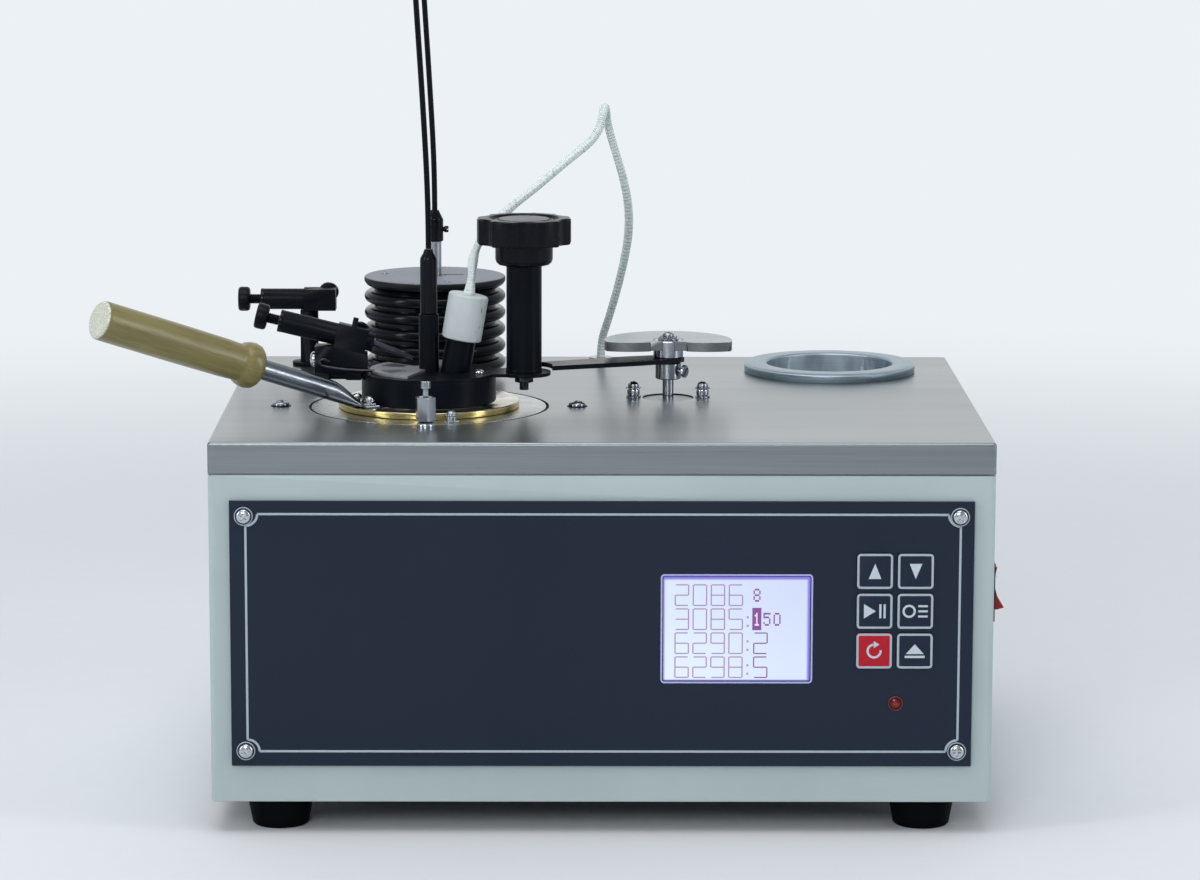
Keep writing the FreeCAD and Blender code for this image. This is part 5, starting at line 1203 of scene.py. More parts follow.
@dataclass
class Case(Assembly):
    """Painted case on its feet with the stainless cover."""

    def build(self) -> None:
        """Dresses the case, cover, feet and what the case holds."""
        self.skin("case_shell", CASE_PAINT)
        self.skin("top_cover", COVER_STEEL)
        self.skin("feet", RUBBER)
        self.skin("base_plate", DULL_STEEL)
        self.dress("main_board", BOARD_GREEN)
        self.dress("transformer", CORE)
        self.skin("power_inlet", BLACK_PLASTIC)


@dataclass
class FrontPanel(Assembly):
    """Navy front panel with its printed border and corner screws."""

    screw_x: float = 150.0
    screw_low: float = 36.4
    screw_high: float = 137.0
    line: float = 0.95
    line_x: Pair = (-149.2, 150.2)
    line_z: Pair = (36.3, 138.0)
    bow: float = 5.0
    head_r: float = 3.05
    head_h: float = 1.9

    def build(self) -> None:
        """Makes the panel's pieces."""
        self.skin("front_panel", PANEL_FILM)
        self.border()
        self.screws()

    def arc(self, start: float) -> Workpiece:
        """Quarter ring of the border round the origin."""
        work = Workpiece()
        radii = (self.bow - self.line / 2, self.bow + self.line / 2)
        ends = [work.mesh.verts.new((*polar(radius, start), 0)) for radius in radii]
        geom = [*ends, work.mesh.edges.new(ends)]
        bmesh.ops.spin(work.mesh, geom=geom, cent=(0, 0, 0), axis=(0, 0, 1), angle=math.pi / 2, steps=16)
        return work

    def border(self) -> None:
        """Printed line round the panel that bows in round each screw."""
        (left, right), (low, high) = self.line_x, self.line_z
        work = Workpiece()
        for x, z, start in ((left, low, 0), (right, low, 90), (right, high, 180), (left, high, 270)):
            work.joined(self.arc(start).moved(x, z, 0))
        wide, tall = right - left - 2 * self.bow, high - low - 2 * self.bow
        for z in (low, high):
            work.joined(Workpiece.tile(wide, self.line).moved((left + right) / 2, z, 0))
        for x in (left, right):
            work.joined(Workpiece.tile(self.line, tall).moved(x, (low + high) / 2, 0))
        bmesh.ops.recalc_face_normals(work.mesh, faces=work.mesh.faces[:])
        work.thickened(0.08).upright(0, PANEL_FACE + 0.02, 0)
        self.place(work, "panel_border", SILVER_INK, "case", "panel_navy")

    def screws(self) -> None:
        """Chrome cross-head screws, each ringed by a cupped ring of light ink, a painted highlight on the
        head's rim.
        """
        cup = [(3.5, 0.0), (3.55, 0.3), (3.7, 0.42), (3.9, 0.35), (3.98, 0.0)]
        head = cross_head(self.head_r, self.head_h, 0.42)
        washers, every = Workpiece(), Workpiece()
        places = [(x, z) for x in (-self.screw_x, self.screw_x) for z in (self.screw_low, self.screw_high)]
        for number, (x, z) in enumerate(places):
            every.joined(head.copied().spun(20 + 37 * number).fronted(x, z))
            washers.joined(Workpiece.turned(cup, 64, True).fronted(x, z))
        # Painted highlight: the light ring round each head stands in for the light on its rim.
        self.place(washers, "panel_screw_highlight_rings", SILVER_INK, "case", "screw_chrome")
        self.stand_in(every, "panel_screws_fitted", CHROME, "panel_screws")


DIGITS = {
    "0": ("01110", "10001", "10001", "10001", "10001", "10001", "01110"),
    "1": ("00100", "01100", "00100", "00100", "00100", "00100", "01110"),
    "5": ("11111", "10000", "11110", "00001", "00001", "10001", "01110"),
    "8": ("01110", "10001", "10001", "01110", "10001", "10001", "01110"),
}
STROKES = {
    "0": "abcdef", "2": "abged", "3": "abgcd", "5": "afgcd", "6": "afgcde", "8": "abcdefg", "9": "abcdfg",
}


@dataclass(frozen=True)
class Row:
    """One row of the display: four tall digits, then small ones or one more tall one."""

    label: str
    small: str = ""
    tall: str = ""


@dataclass
class Display(Assembly):
    """Lit dot-matrix display with plain numbers."""

    face: float = -126.9
    dot: float = 0.6
    dot_high: float = 0.8
    pitch: float = 10.3
    stroke: float = 0.5
    rows: tuple[Row, ...] = (
        Row("2086", "8"), Row("3085", "150"), Row("6290", tall="2"), Row("6298", tall="5"),
    )
    label_from: float = 6.1
    label_step: float = 7.55
    value_from: float = 38.6

    def build(self) -> None:
        """Makes the window's pieces."""
        left, right, low, high = LCD_WINDOW
        wide, tall = right - left, high - low
        x, z = (left + right) / 2, (low + high) / 2
        field = Workpiece.tile(wide - 0.1, tall - 0.1, 1.4).thickened(0.9)
        self.place(
            field.upright(x, self.face + 1.3, z), "lcd_field", LCD_FIELD, "case", "window", ("lcd_window",),
        )
        gap = Workpiece.tile(wide - 1.3, tall - 1.3, 1.1).framed(0.45).thickened(0.2)
        self.place(gap.upright(x, self.face + 0.42, z), "lcd_gap", PANEL_FILM, "case", "window")
        edge = Workpiece.tile(wide, tall, 1.6).framed(0.7).thickened(0.5)
        self.place(edge.upright(x, self.face + 0.36, z), "lcd_outline", LCD_RIM, "case", "window")
        self.letters()
        self.dress("display_board", BOARD_GREEN)

    def bar(self, x: float, z: float, wide: float, tall: float) -> Workpiece:
        """One flat bar or dot of the display."""
        return Workpiece.tile(wide, tall).moved(x, z, 0)

    def tall_digit(self, sign: str, x: float, top: float) -> Workpiece:
        """Tall digit of thin strokes, 5.6 mm wide and 8.8 mm high."""
        wide, half = 5.6, 4.4
        level = {"a": 0, "g": half, "d": 2 * half}
        upright = {"f": (0, 0.5), "b": (wide, 0.5), "e": (0, 1.5), "c": (wide, 1.5)}
        work = Workpiece()
        for stroke in STROKES[sign]:
            if stroke in level:
                work.joined(self.bar(x + wide / 2, top - level[stroke], wide - self.stroke, self.stroke))
            else:
                dx, share = upright[stroke]
                work.joined(self.bar(x + dx, top - share * half, self.stroke, half))
        return work

    def small_digit(self, sign: str, x: float, top: float) -> Workpiece:
        """Small digit of square dots."""
        work = Workpiece()
        for line, bits in enumerate(DIGITS[sign]):
            for place, bit in enumerate(bits):
                if bit == "1":
                    at = (x + (place + 0.5) * self.dot, top - (line + 0.5) * self.dot_high)
                    work.joined(self.bar(*at, self.dot * 0.96, self.dot_high * 0.96))
        return work

    def letters(self) -> None:
        """Rows of digits, with a cursor block behind one of them."""
        labels, values, bright = Workpiece(), Workpiece(), Workpiece()
        left, _, _, high = LCD_WINDOW
        start = left + self.value_from
        for number, row in enumerate(self.rows):
            top = high - 4.6 - number * self.pitch
            for column, sign in enumerate(row.label):
                at = (left + self.label_from + column * self.label_step, top)
                labels.joined(self.tall_digit(sign, *at))
            if number:
                for drop in (3.6, 7.2):
                    labels.joined(self.bar(start - 2.0, top - drop, 0.8, 0.9))
            for column, sign in enumerate(row.small):
                marked = number == 1 and column == 0
                digit = self.small_digit(sign, start + 0.3 + column * 4.25, top - 1.6)
                (bright if marked else values).joined(digit)
                if marked:
                    values.joined(self.bar(start + 1.8, top - 4.3, 3.8, 9.6))
            if row.tall:
                values.joined(self.tall_digit(row.tall, start + 0.6, top))
        for work, name, finish, lift in (
            (labels, "lcd_labels", LCD_MAUVE, 0.10),
            (values, "lcd_values", LCD_PLUM, 0.10),
            (bright, "lcd_cursor_digit", LCD_LIGHT, 0.05),
        ):
            self.place(work.upright(0, self.face + lift, 0), name, finish, "case", "window")


class Sign(Enum):
    """Plain sign on a key."""

    UP = "up"
    DOWN = "down"
    START = "start"
    RECORD = "record"
    RESET = "reset"
    LID = "lid"


@dataclass
class Keypad(Assembly):
    """Six keys with printed frames and plain signs."""

    columns: Pair = (114.5, 131.6)
    rows: Triple = (114.0, 96.95, 79.9)
    side: float = 15.0
    face: float = -127.6
    corner: float = 1.6
    line: float = 0.95
    ink: float = 0.1

    def build(self) -> None:
        """Makes the six keys and the lamp below them."""
        for number, sign in enumerate(Sign):
            place = (self.columns[number % 2], self.face + 0.04, self.rows[number // 2])
            node = f"key_{sign.value}"
            self.skin(node, KEY_RED if sign is Sign.RESET else KEY_FILM)
            edge = Workpiece.tile(self.side, self.side, self.corner).framed(self.line).thickened(self.ink)
            for work, ending, ink in ((edge, "frame", SILVER_INK), (self.mark(sign), "sign", PALE_INK)):
                self.place(work.upright(*place), f"{node}_{ending}", ink, f"{node}_cap", "key_navy")
        self.lamp()

    def arrow(self, wide: float, tall: float) -> Workpiece:
        """Flat triangle that points up, centred on the origin."""
        return Workpiece.sawn([(-wide / 2, -tall / 2), (wide / 2, -tall / 2), (0, tall / 2)], self.ink)

    def ring(self, inner: float, outer: float) -> Workpiece:
        """Flat ring round the origin."""
        return Workpiece.turned([(inner, 0), (outer, 0), (outer, self.ink), (inner, self.ink)], 48, True)

    def strip(self, x: float, y: float, wide: float, tall: float) -> Workpiece:
        """Flat strip centred on a point."""
        return Workpiece.tile(wide, tall).thickened(self.ink).moved(x, y, 0)

    def mark(self, sign: Sign) -> Workpiece:
        """Flat sign of a key, in the XY plane."""
        if sign is Sign.UP:
            return self.arrow(5.3, 6.5)
        if sign is Sign.DOWN:
            return self.arrow(5.3, 6.5).spun(180)
        if sign is Sign.START:
            bars = (self.strip(x, 0, 0.9, 6.0) for x in (2.4, 4.2))
            return self.arrow(6.2, 5.0).spun(-90).moved(-2.0, 0, 0).joined(*bars)
        if sign is Sign.RECORD:
            marks = self.ring(1.9, 2.8).moved(-2.6, 0, 0)
            return marks.joined(*(self.strip(3.2, y, 4.0, 0.85) for y in (-2.2, 0, 2.2)))
        if sign is Sign.RESET:
            arc = self.ring(2.3, 3.2).carved(Workpiece.block((0, 0.3, -1), (4, 4, 1)))
            return arc.joined(self.arrow(3.0, 2.4).spun(-90).moved(1.0, 2.75, 0))
        return self.strip(0, -2.5, 8.4, 1.0).joined(self.arrow(7.6, 4.2).moved(0, 0.8, 0))

    def lamp(self) -> None:
        """Red indicator lamp in its thin ring."""
        x, z = 123.8, 57.2
        outline = [(0, 0.9), (1.0, 0.8), (1.9, 0.5), (2.6, 0.05), (2.65, -2.0), (2.65, -9.0), (0, -9.0)]
        lens = Workpiece.turned(outline, 48).fronted(x, z)
        glass = DotLens("lens_dark_red", srgb(66, 4, 8), 0.22, srgb(156, 16, 24), (x, PANEL_FACE, z))
        self.place(lens, "status_led_lens", glass, "case", "led_red", ("status_led",))
        ring = Workpiece.turned([(2.72, 0), (3.05, 0), (3.0, 0.5), (2.85, 0.6), (2.72, 0.45)], 56, True)
        self.place(ring.fronted(x, z), "lamp_ring", LED_RING, "case", "led_red")


@dataclass
class PowerSwitch(Assembly):
    """Red rocker in its housing on the right wall."""

    pivot: Triple = (160.0, -105.0, 102.0)
    half_width: float = 5.0
    tilt: float = 10.0
    face_tilt: float = 17.0

    def build(self) -> None:
        """Makes the rocker with its hollowed face and plain marks, and dresses the housing."""
        side = [(7.3, 3.6), (8.2, 6.4), (9.3, 8.9), (6.0, 9.2), (0, 7.2)]
        outline = [(6.9, 0), *((x, -y) for x, y in side), (-4.5, 0), *reversed(side)]
        work = Workpiece.sawn(outline, 2 * self.half_width).eased(0.35, 2, 50)
        work.moved(0, 0, -self.half_width).spun(90, "X").spun(-self.tilt, "Y").moved(*self.pivot)
        self.stand_in(work, "rocker_moulded", SWITCH_RED, "rocker", 40)
        stroke = Workpiece.block((7.75, -0.4, -6.6), (8.3, 0.4, -3.6)).spun(self.face_tilt, "Y")
        circle = Workpiece.turned([(1.1, 0), (1.7, 0), (1.7, 0.3), (1.1, 0.3)], 32, True).spun(90, "Y")
        circle.spun(-self.face_tilt, "Y").moved(7.95, 0, 5.2)
        marks = stroke.moved(0.55, 0, 2.3).joined(circle).spun(-self.tilt, "Y").moved(*self.pivot)
        self.place(marks, "rocker_marks", PALE_INK, "power_rocker", "rocker_red")
        self.skin("switch_housing", BLACK_PLASTIC)


@dataclass
class CoverFittings(Assembly):
    """Small fittings on the cover: screws, hexagon post, rest ring and lead socket."""

    head_r: float = 3.75
    head_h: float = 2.4
    stack_x: Pair = (DRIVE_X - 15.4, DRIVE_X + 15.4)
    furnace_x: Pair = (CUP_X - 65.15, CUP_X + 65.15)
    locating_at: Pair = (-64.4, -70.5)
    hex_post_at: Triple = (-75.0, -85.0, TOP)

    def build(self) -> None:
        """Makes the fittings."""
        self.screws()
        self.hex_post()
        self.skin("cup_rest_ring", RING_ALLOY)
        self.skin("lead_socket", BRIGHT_STEEL)

    def screws(self) -> None:
        """Furnace screws, the locating screw and the two stacks of washers, nut and screw."""
        every = Workpiece()
        head = cross_head(self.head_r, self.head_h, 0.55)
        for number, x in enumerate(self.furnace_x):
            every.joined(head.copied().spun(25 + 40 * number).moved(x, CUP_Y, TOP + 0.05))
        nut = [(0, 0.3), (2.0, 0.3), (2.3, 0.7), (2.3, 2.3), (2.0, 2.7), (0, 2.7)]
        for work, height in (
            (star_washer(2.95, 1.2, 0.4, 10), 0.1), (Workpiece.turned(nut, 40), 0.0),
            (star_washer(2.7, 1.1, 0.4, 9).spun(15), 2.75), (cross_head(2.1, 1.9, 0.38).spun(30), 3.1),
        ):
            every.joined(work.moved(*self.locating_at, TOP + height))
        low = [(1.5, 0.7), (2.3, 0.7), (2.75, 1.3), (2.85, 3.0), (2.5, 3.8), (1.5, 3.95)]
        core = [(0, 0.3), (1.35, 0.3), (1.35, 4.9), (0, 4.9)]
        for number, x in enumerate(self.stack_x):
            for work, height in (
                (star_washer(3.3, 1.4, 0.5, 10).spun(9), 0.15), (Workpiece.turned(low, 40, True), 0.0),
                (star_washer(3.3, 1.3, 0.5, 9).spun(24 * number), 4.0),
                (cross_head(2.5, 2.7, 0.38).spun(32 + 50 * number), 4.6), (Workpiece.turned(core, 24), 0.0),
            ):
                every.joined(work.moved(x, DRIVE_Y, TOP + height))
        self.stand_in(every, "cover_screws_fitted", BRIGHT_STEEL, "cover_screws")
        # Painted shadow: a thin black ring lies on the cover round each furnace screw's head.
        collar = Workpiece.turned([(3.85, 0), (4.5, 0), (4.4, 0.2), (3.85, 0.2)], 48, True)
        rings = Workpiece()
        for x in self.furnace_x:
            rings.joined(collar.copied().moved(x, CUP_Y, TOP + 0.01))
        self.place(rings, "furnace_screw_shadow_rings", BLACK_ENAMEL, "case", "black_metal")

    def hex_post(self) -> None:
        """Ground hexagon post on its domed, cross-slotted foot."""
        place = self.hex_post_at
        foot = cross_head(3.9, 2.9, 0.5).spun(38)
        self.place(foot.moved(*place), "hex_post_foot", CHROME, "case", "steel")
        work = Workpiece.prism(8 / math.sqrt(3), 6, 10.2).eased(0.3, 2).spun(12).moved(0, 0, 2.9)
        neck = [
            (0, 13.0), (3.3, 13.0), (2.5, 13.4), (1.25, 13.6), (1.2, 16.5), (1.5, 16.7), (2.1, 16.8),
            (2.1, 19.5), (1.8, 20.0), (0, 20.0),
        ]
        work.joined(Workpiece.turned(neck, 40))
        self.stand_in(work.moved(*place), "hex_post_ground", BRIGHT_STEEL, "hex_post")


@dataclass
class Furnace(Assembly):
    """Furnace plate in the cover with the furnace body below it."""

    def build(self) -> None:
        """Dresses the furnace."""
        self.skin("furnace_plate", PLATE_STEEL)
        self.skin("furnace_body", CAST)
        self.skin("furnace_heater", CERAMIC)


@dataclass
class TestCup(Assembly):
    """Brass cup with its handle, whose rod and grip rise from the flange."""

    azimuth: float = 214.5
    rise: float = 19.3
    foot_r: float = 31.0
    foot_z: float = 172.6
    rod_r: float = 4.4
    grip_from: float = 60.0
    rod_in_grip: float = 18.0
    taper: float = 22.0
    flat: float = 0.16
    grip_length: float = 80.0
    flange_top: float = 171.1

    def build(self) -> None:
        """Makes the cup's pieces."""
        self.skin("test_cup", BRASS)
        self.rod()
        self.grip()

    def along(self) -> Vector:
        """Direction of the handle."""
        dx, dy = polar(1, self.azimuth)
        rise = math.radians(self.rise)
        return Vector((dx * math.cos(rise), dy * math.cos(rise), math.sin(rise)))

    def out(self, reach: float, side: float, height: float) -> Vector:
        """Point at a distance from the cup's axis, to one side of the handle."""
        dx, dy = polar(1, self.azimuth)
        return Vector((CUP_X + dx * reach - dy * side, CUP_Y + dy * reach + dx * side, height))

    def rod(self) -> None:
        """Steel rod whose foot is flattened on to the flange, its tab and two screws."""
        length = self.grip_from + self.rod_in_grip
        steps = (*range(0, 24, 2), 26, 40, length)
        outline = [(0.0, 0.0), *((self.rod_r, step) for step in steps), (0.0, length)]
        work = Workpiece.turned(outline, 48)
        for vert in work.mesh.verts:
            share = min(1.0, max(0.0, vert.co.z / self.taper))
            height = self.flat + (1 - self.flat) * (share * share * (3 - 2 * share)) ** 0.8
            vert.co.y = -self.rod_r + (vert.co.y + self.rod_r) * height
            vert.co.x *= 1.0 + 0.14 * (1 - share)
        work.framed_on(self.out(self.foot_r, 0, self.foot_z), self.along())
        for vert in work.mesh.verts:
            vert.co.z = max(vert.co.z, self.flange_top + 0.02)
        tab = Workpiece.block((0, -8.4, 0), (7.4, 8.4, 1.3)).eased(0.5, 2)
        tab.spun(self.azimuth).moved(*self.out(self.foot_r - 0.6, 0, self.flange_top))
        self.stand_in(work.joined(tab), "handle_rod_forged", ROD_STEEL, "handle_rod", 50)
        heads = Workpiece()
        for number, side in enumerate((-5.2, 5.2)):
            place = self.out(self.foot_r + 2.9, side, self.flange_top + 1.3)
            for work, lift in (
                (star_washer(2.7, 1.1, 0.5, 9), 0.0),
                (Workpiece.turned([(0, 0), (1.4, 0), (1.4, 1.4), (0, 1.4)], 24), 0.0),
                (star_washer(2.3, 1.2, 0.45, 8), 1.3),
                (cross_head(2.1, 1.9, 0.36).spun(40 * number), 1.75),
            ):
                heads.joined(work.moved(*(place + UP * lift)))
        self.place(heads, "handle_screws", CHROME, "cup", "screw_chrome")

    def grip(self) -> None:
        """Turned wooden grip with its bead and rounded end."""
        end = self.grip_length
        outline = [
            (4.5, 0), (7.3, 0), (8.6, 0.5), (9.5, 1.6), (9.9, 3.4), (9.8, 5.6), (9.3, 7.4), (8.5, 8.8),
            (8.05, 9.6), (8.0, 10.8), (8.25, 18), (8.4, 42), (8.4, end - 2.2), (8.25, end - 1.1),
            (7.8, end - 0.4), (7.2, end), (0, end),
        ]
        place = self.out(self.foot_r, 0, self.foot_z) + self.along() * self.grip_from
        work = Workpiece.turned(outline, 96).aimed(self.along()).moved(*place)
        wood = Lacquered(
            "grip_lacquered_wood", srgb(126, 119, 66), 0.36, srgb(106, 93, 48),
            (srgb(186, 190, 172), srgb(222, 224, 212)), tuple(place), self.azimuth, self.rise, end,
        )
        self.stand_in(work, "handle_grip_turned", wood, "handle_grip")


@dataclass
class Valve(Assembly):
    """Knob and ring of a gas valve, made along +X from its pivot and then tilted."""

    node: str
    body: str
    pivot: Triple
    tilt: float
    ring_at: Triple
    cylinder: float = 25.7
    stem: float = 5.1

    def set_along(self, work: Workpiece, reach: float) -> Workpiece:
        """Sets a piece on the valve's own axis, at a reach from the pivot."""
        return work.moved(0, 0, reach).spun(-90, "Y").spun(self.tilt, "Y").moved(*self.pivot)

    def build(self) -> None:
        """Makes the knob with its threaded stem, the cylinder's cap and the ring behind the block."""
        knob = [
            (0, 4.9), (4.4, 4.9), (5.2, 5.2), (5.65, 6.1), (5.7, 8.8), (5.5, 9.7), (4.9, 10.2), (3.0, 10.3),
            (2.7, 10.0), (0, 10.0),
        ]
        work = thread(2.35, self.stem + 0.2, 0.85, 32).joined(Workpiece.turned(knob, 64))
        self.set_along(work, self.cylinder + 0.25)
        self.stand_in(work, f"{self.node}_turned", BLACK_PLASTIC, self.node)
        lid = [(2.7, 0.0), (4.86, 0.0), (4.95, 0.4), (4.95, 1.3), (4.86, 1.6), (2.7, 1.6)]
        cap = self.set_along(Workpiece.turned(lid, 56, True), self.cylinder - 1.62)
        collar = [(1.3, 0), (3.9, 0), (4.35, 0.4), (4.35, 2.3), (3.9, 2.7), (2.4, 2.9), (1.3, 2.4)]
        ring = Workpiece.turned(collar, 56, True).aimed(BACK).moved(*self.ring_at)
        self.place(cap.joined(ring), self.node.replace("knob", "ring"), TOWER_BLACK, self.body, "black_metal")


@dataclass
class CupLid(Assembly):
    """Lid with its plate, shutter, port, bracket and front gas valve."""

    bracket_x: float = -125.3
    top_screw: Pair = (23.6, -20.0)
    strip: tuple[Triple, ...] = (
        (-118.6, -33.9, 188.6), (-120.9, -34.1, 190.0), (-123.1, -34.3, 189.2), (-122.9, -34.4, 187.3),
        (-119.6, -34.4, 186.4), (-113.0, -34.4, 185.4), (-106.0, -34.4, 184.9), (-99.0, -34.4, 184.8),
    )

    def build(self) -> None:
        """Dresses the lid."""
        for node in ("lid_rim", "lid_plate", "sensor_port", "valve_bracket", "front_valve_body"):
            self.skin(node, BLACK_ENAMEL)
        self.screws()
        self.skin("flame_nozzle", BLUED_STEEL)
        Valve("front_valve_knob", "lid", (-116.0, CUP_Y, 199.9), 13.5, (-106.2, -21.9, 200.2)).build()
        self.place(Workpiece.wire(list(self.strip), 0.6), "shutter_wire", BLUED_STEEL, "lid", "black_metal")
        self.skin("shutter", SHUTTER_STEEL)
        self.skin("sensor_plug", PLUG_WHITE)
        self.stirrer()

    def screws(self) -> None:
        """Bracket screws and the small screw on the lid plate."""
        side = cross_head(3.375, 2.4, 0.5).spun(30).aimed(-RIGHT).moved(self.bracket_x, CUP_Y, 188.8)
        low = cross_head(1.89, 1.9, 0.32).aimed(-UP).moved(self.bracket_x + 3.0, CUP_Y, 179.0)
        dx, dy = polar(*self.top_screw)
        top = cross_head(2.16, 1.9, 0.36).spun(20).moved(CUP_X + dx, CUP_Y + dy, LID_TOP)
        self.stand_in(side.joined(low, top), "lid_screws_fitted", CHROME, "lid_screws")

    def stirrer(self) -> None:
        """Bearing column and the chuck that turns above it."""
        bearing = [(2.1, LID_TOP), (4.4, LID_TOP), (4.4, 208.2), (4.15, 208.85), (2.1, 208.85)]
        chuck = [
            (2.1, 209.05), (3.45, 209.05), (3.75, 209.4), (3.75, 232.6), (3.6, 233.6), (3.2, 234.4),
            (2.45, 235.6), (2.0, 236.9), (1.7, 237.5), (0, 237.5),
        ]
        bearing_piece = Workpiece.turned(bearing, 64, True).moved(CUP_X, CUP_Y, 0)
        self.stand_in(bearing_piece, "bearing_turned", BLACK_ENAMEL, "bearing_column")
        chuck_piece = Workpiece.turned(chuck, 64).moved(CUP_X, CUP_Y, 0)
        self.stand_in(chuck_piece, "chuck_turned", TOWER_BLACK, "stirrer_chuck")
        self.skin("stirrer_spindle", BRIGHT_STEEL)


@dataclass
class KnobColumn(Assembly):
    """Black column on the lid's lobe with its star knob, whose rim has round notches."""

    lobes: int = 6
    notch_r: float = 9.0
    notch_at: float = 27.4
    first_notch: float = -87.0
    outer: float = 20.6
    top: float = 251.4

    def build(self) -> None:
        """Makes the column and knob."""
        column = [
            (3.2, LID_TOP), (8.0, LID_TOP), (8.0, LID_TOP + 1.2), (7.75, LID_TOP + 1.6), (7.75, 231.4),
            (7.4, 231.95), (3.2, 231.95),
        ]
        work = Workpiece.turned(column, 80, True).moved(LOBE_X, CUP_Y, 0)
        self.place(work, "knob_column_turned", BLACK_ENAMEL, "lid", "black_metal", ("knob_column",))
        self.knob()
        self.skin("knob_spindle", BOLT_DARK)

    def rim(self, degrees: float, radius: float) -> float:
        """Radius of the knob's side in a direction, cut back where a notch is."""
        pitch = 360 / self.lobes
        off = math.radians((degrees - self.first_notch + pitch / 2) % pitch - pitch / 2)
        across = self.notch_r ** 2 - (self.notch_at * math.sin(off)) ** 2
        cut = self.notch_at * math.cos(off) - math.sqrt(across) if across > 0 else radius
        return min(radius, cut - (self.outer - radius))

    def knob(self) -> None:
        """Star knob with its neck and the round insert in its top."""
        outer, top = self.outer, self.top
        neck = [
            (3.2, 232.15), (8.3, 232.15), (8.3, 230.7), (9.6, 230.6), (11.2, 231.0), (12.2, 232.0),
            (12.6, 233.4), (12.6, 236.2), (12.6, 239.5), (12.9, 239.9),
        ]
        side = [
            (17.5, 239.9), (outer - 0.6, 239.9), (outer - 0.2, 240.2), (outer, 240.8), (outer, top - 0.8),
            (outer - 0.2, top - 0.25), (outer - 0.6, top), (17.6, top + 0.1),
        ]
        crown = [
            (15.7, top), (15.2, top - 0.5), (14.5, top - 1.2), (13.6, top - 1.3), (13.0, top - 0.8),
            (12.4, top - 0.7), (11.9, top - 1.1), (11.6, top - 1.1), (11.3, top - 0.65), (0, top - 0.5),
        ]
        work = Workpiece.turned(neck + side + crown, 240)
        for vert in work.mesh.verts:
            radius = vert.co.xy.length
            if radius > outer - 1.1:
                vert.co.xy *= self.rim(math.degrees(math.atan2(vert.co.y, vert.co.x)), radius) / radius
        self.stand_in(work.moved(LOBE_X, CUP_Y, 0), "star_knob_moulded", BAKELITE, "star_knob", 38)
        disc = [(0, top - 1.0), (11.1, top - 1.0), (11.1, top - 0.45), (10.8, top - 0.3), (0, top - 0.2)]
        insert = Workpiece.turned(disc, 96).moved(LOBE_X, CUP_Y, 0)
        self.place(insert, "knob_insert", KNOB_INSERT, "knob", "black_plastic")


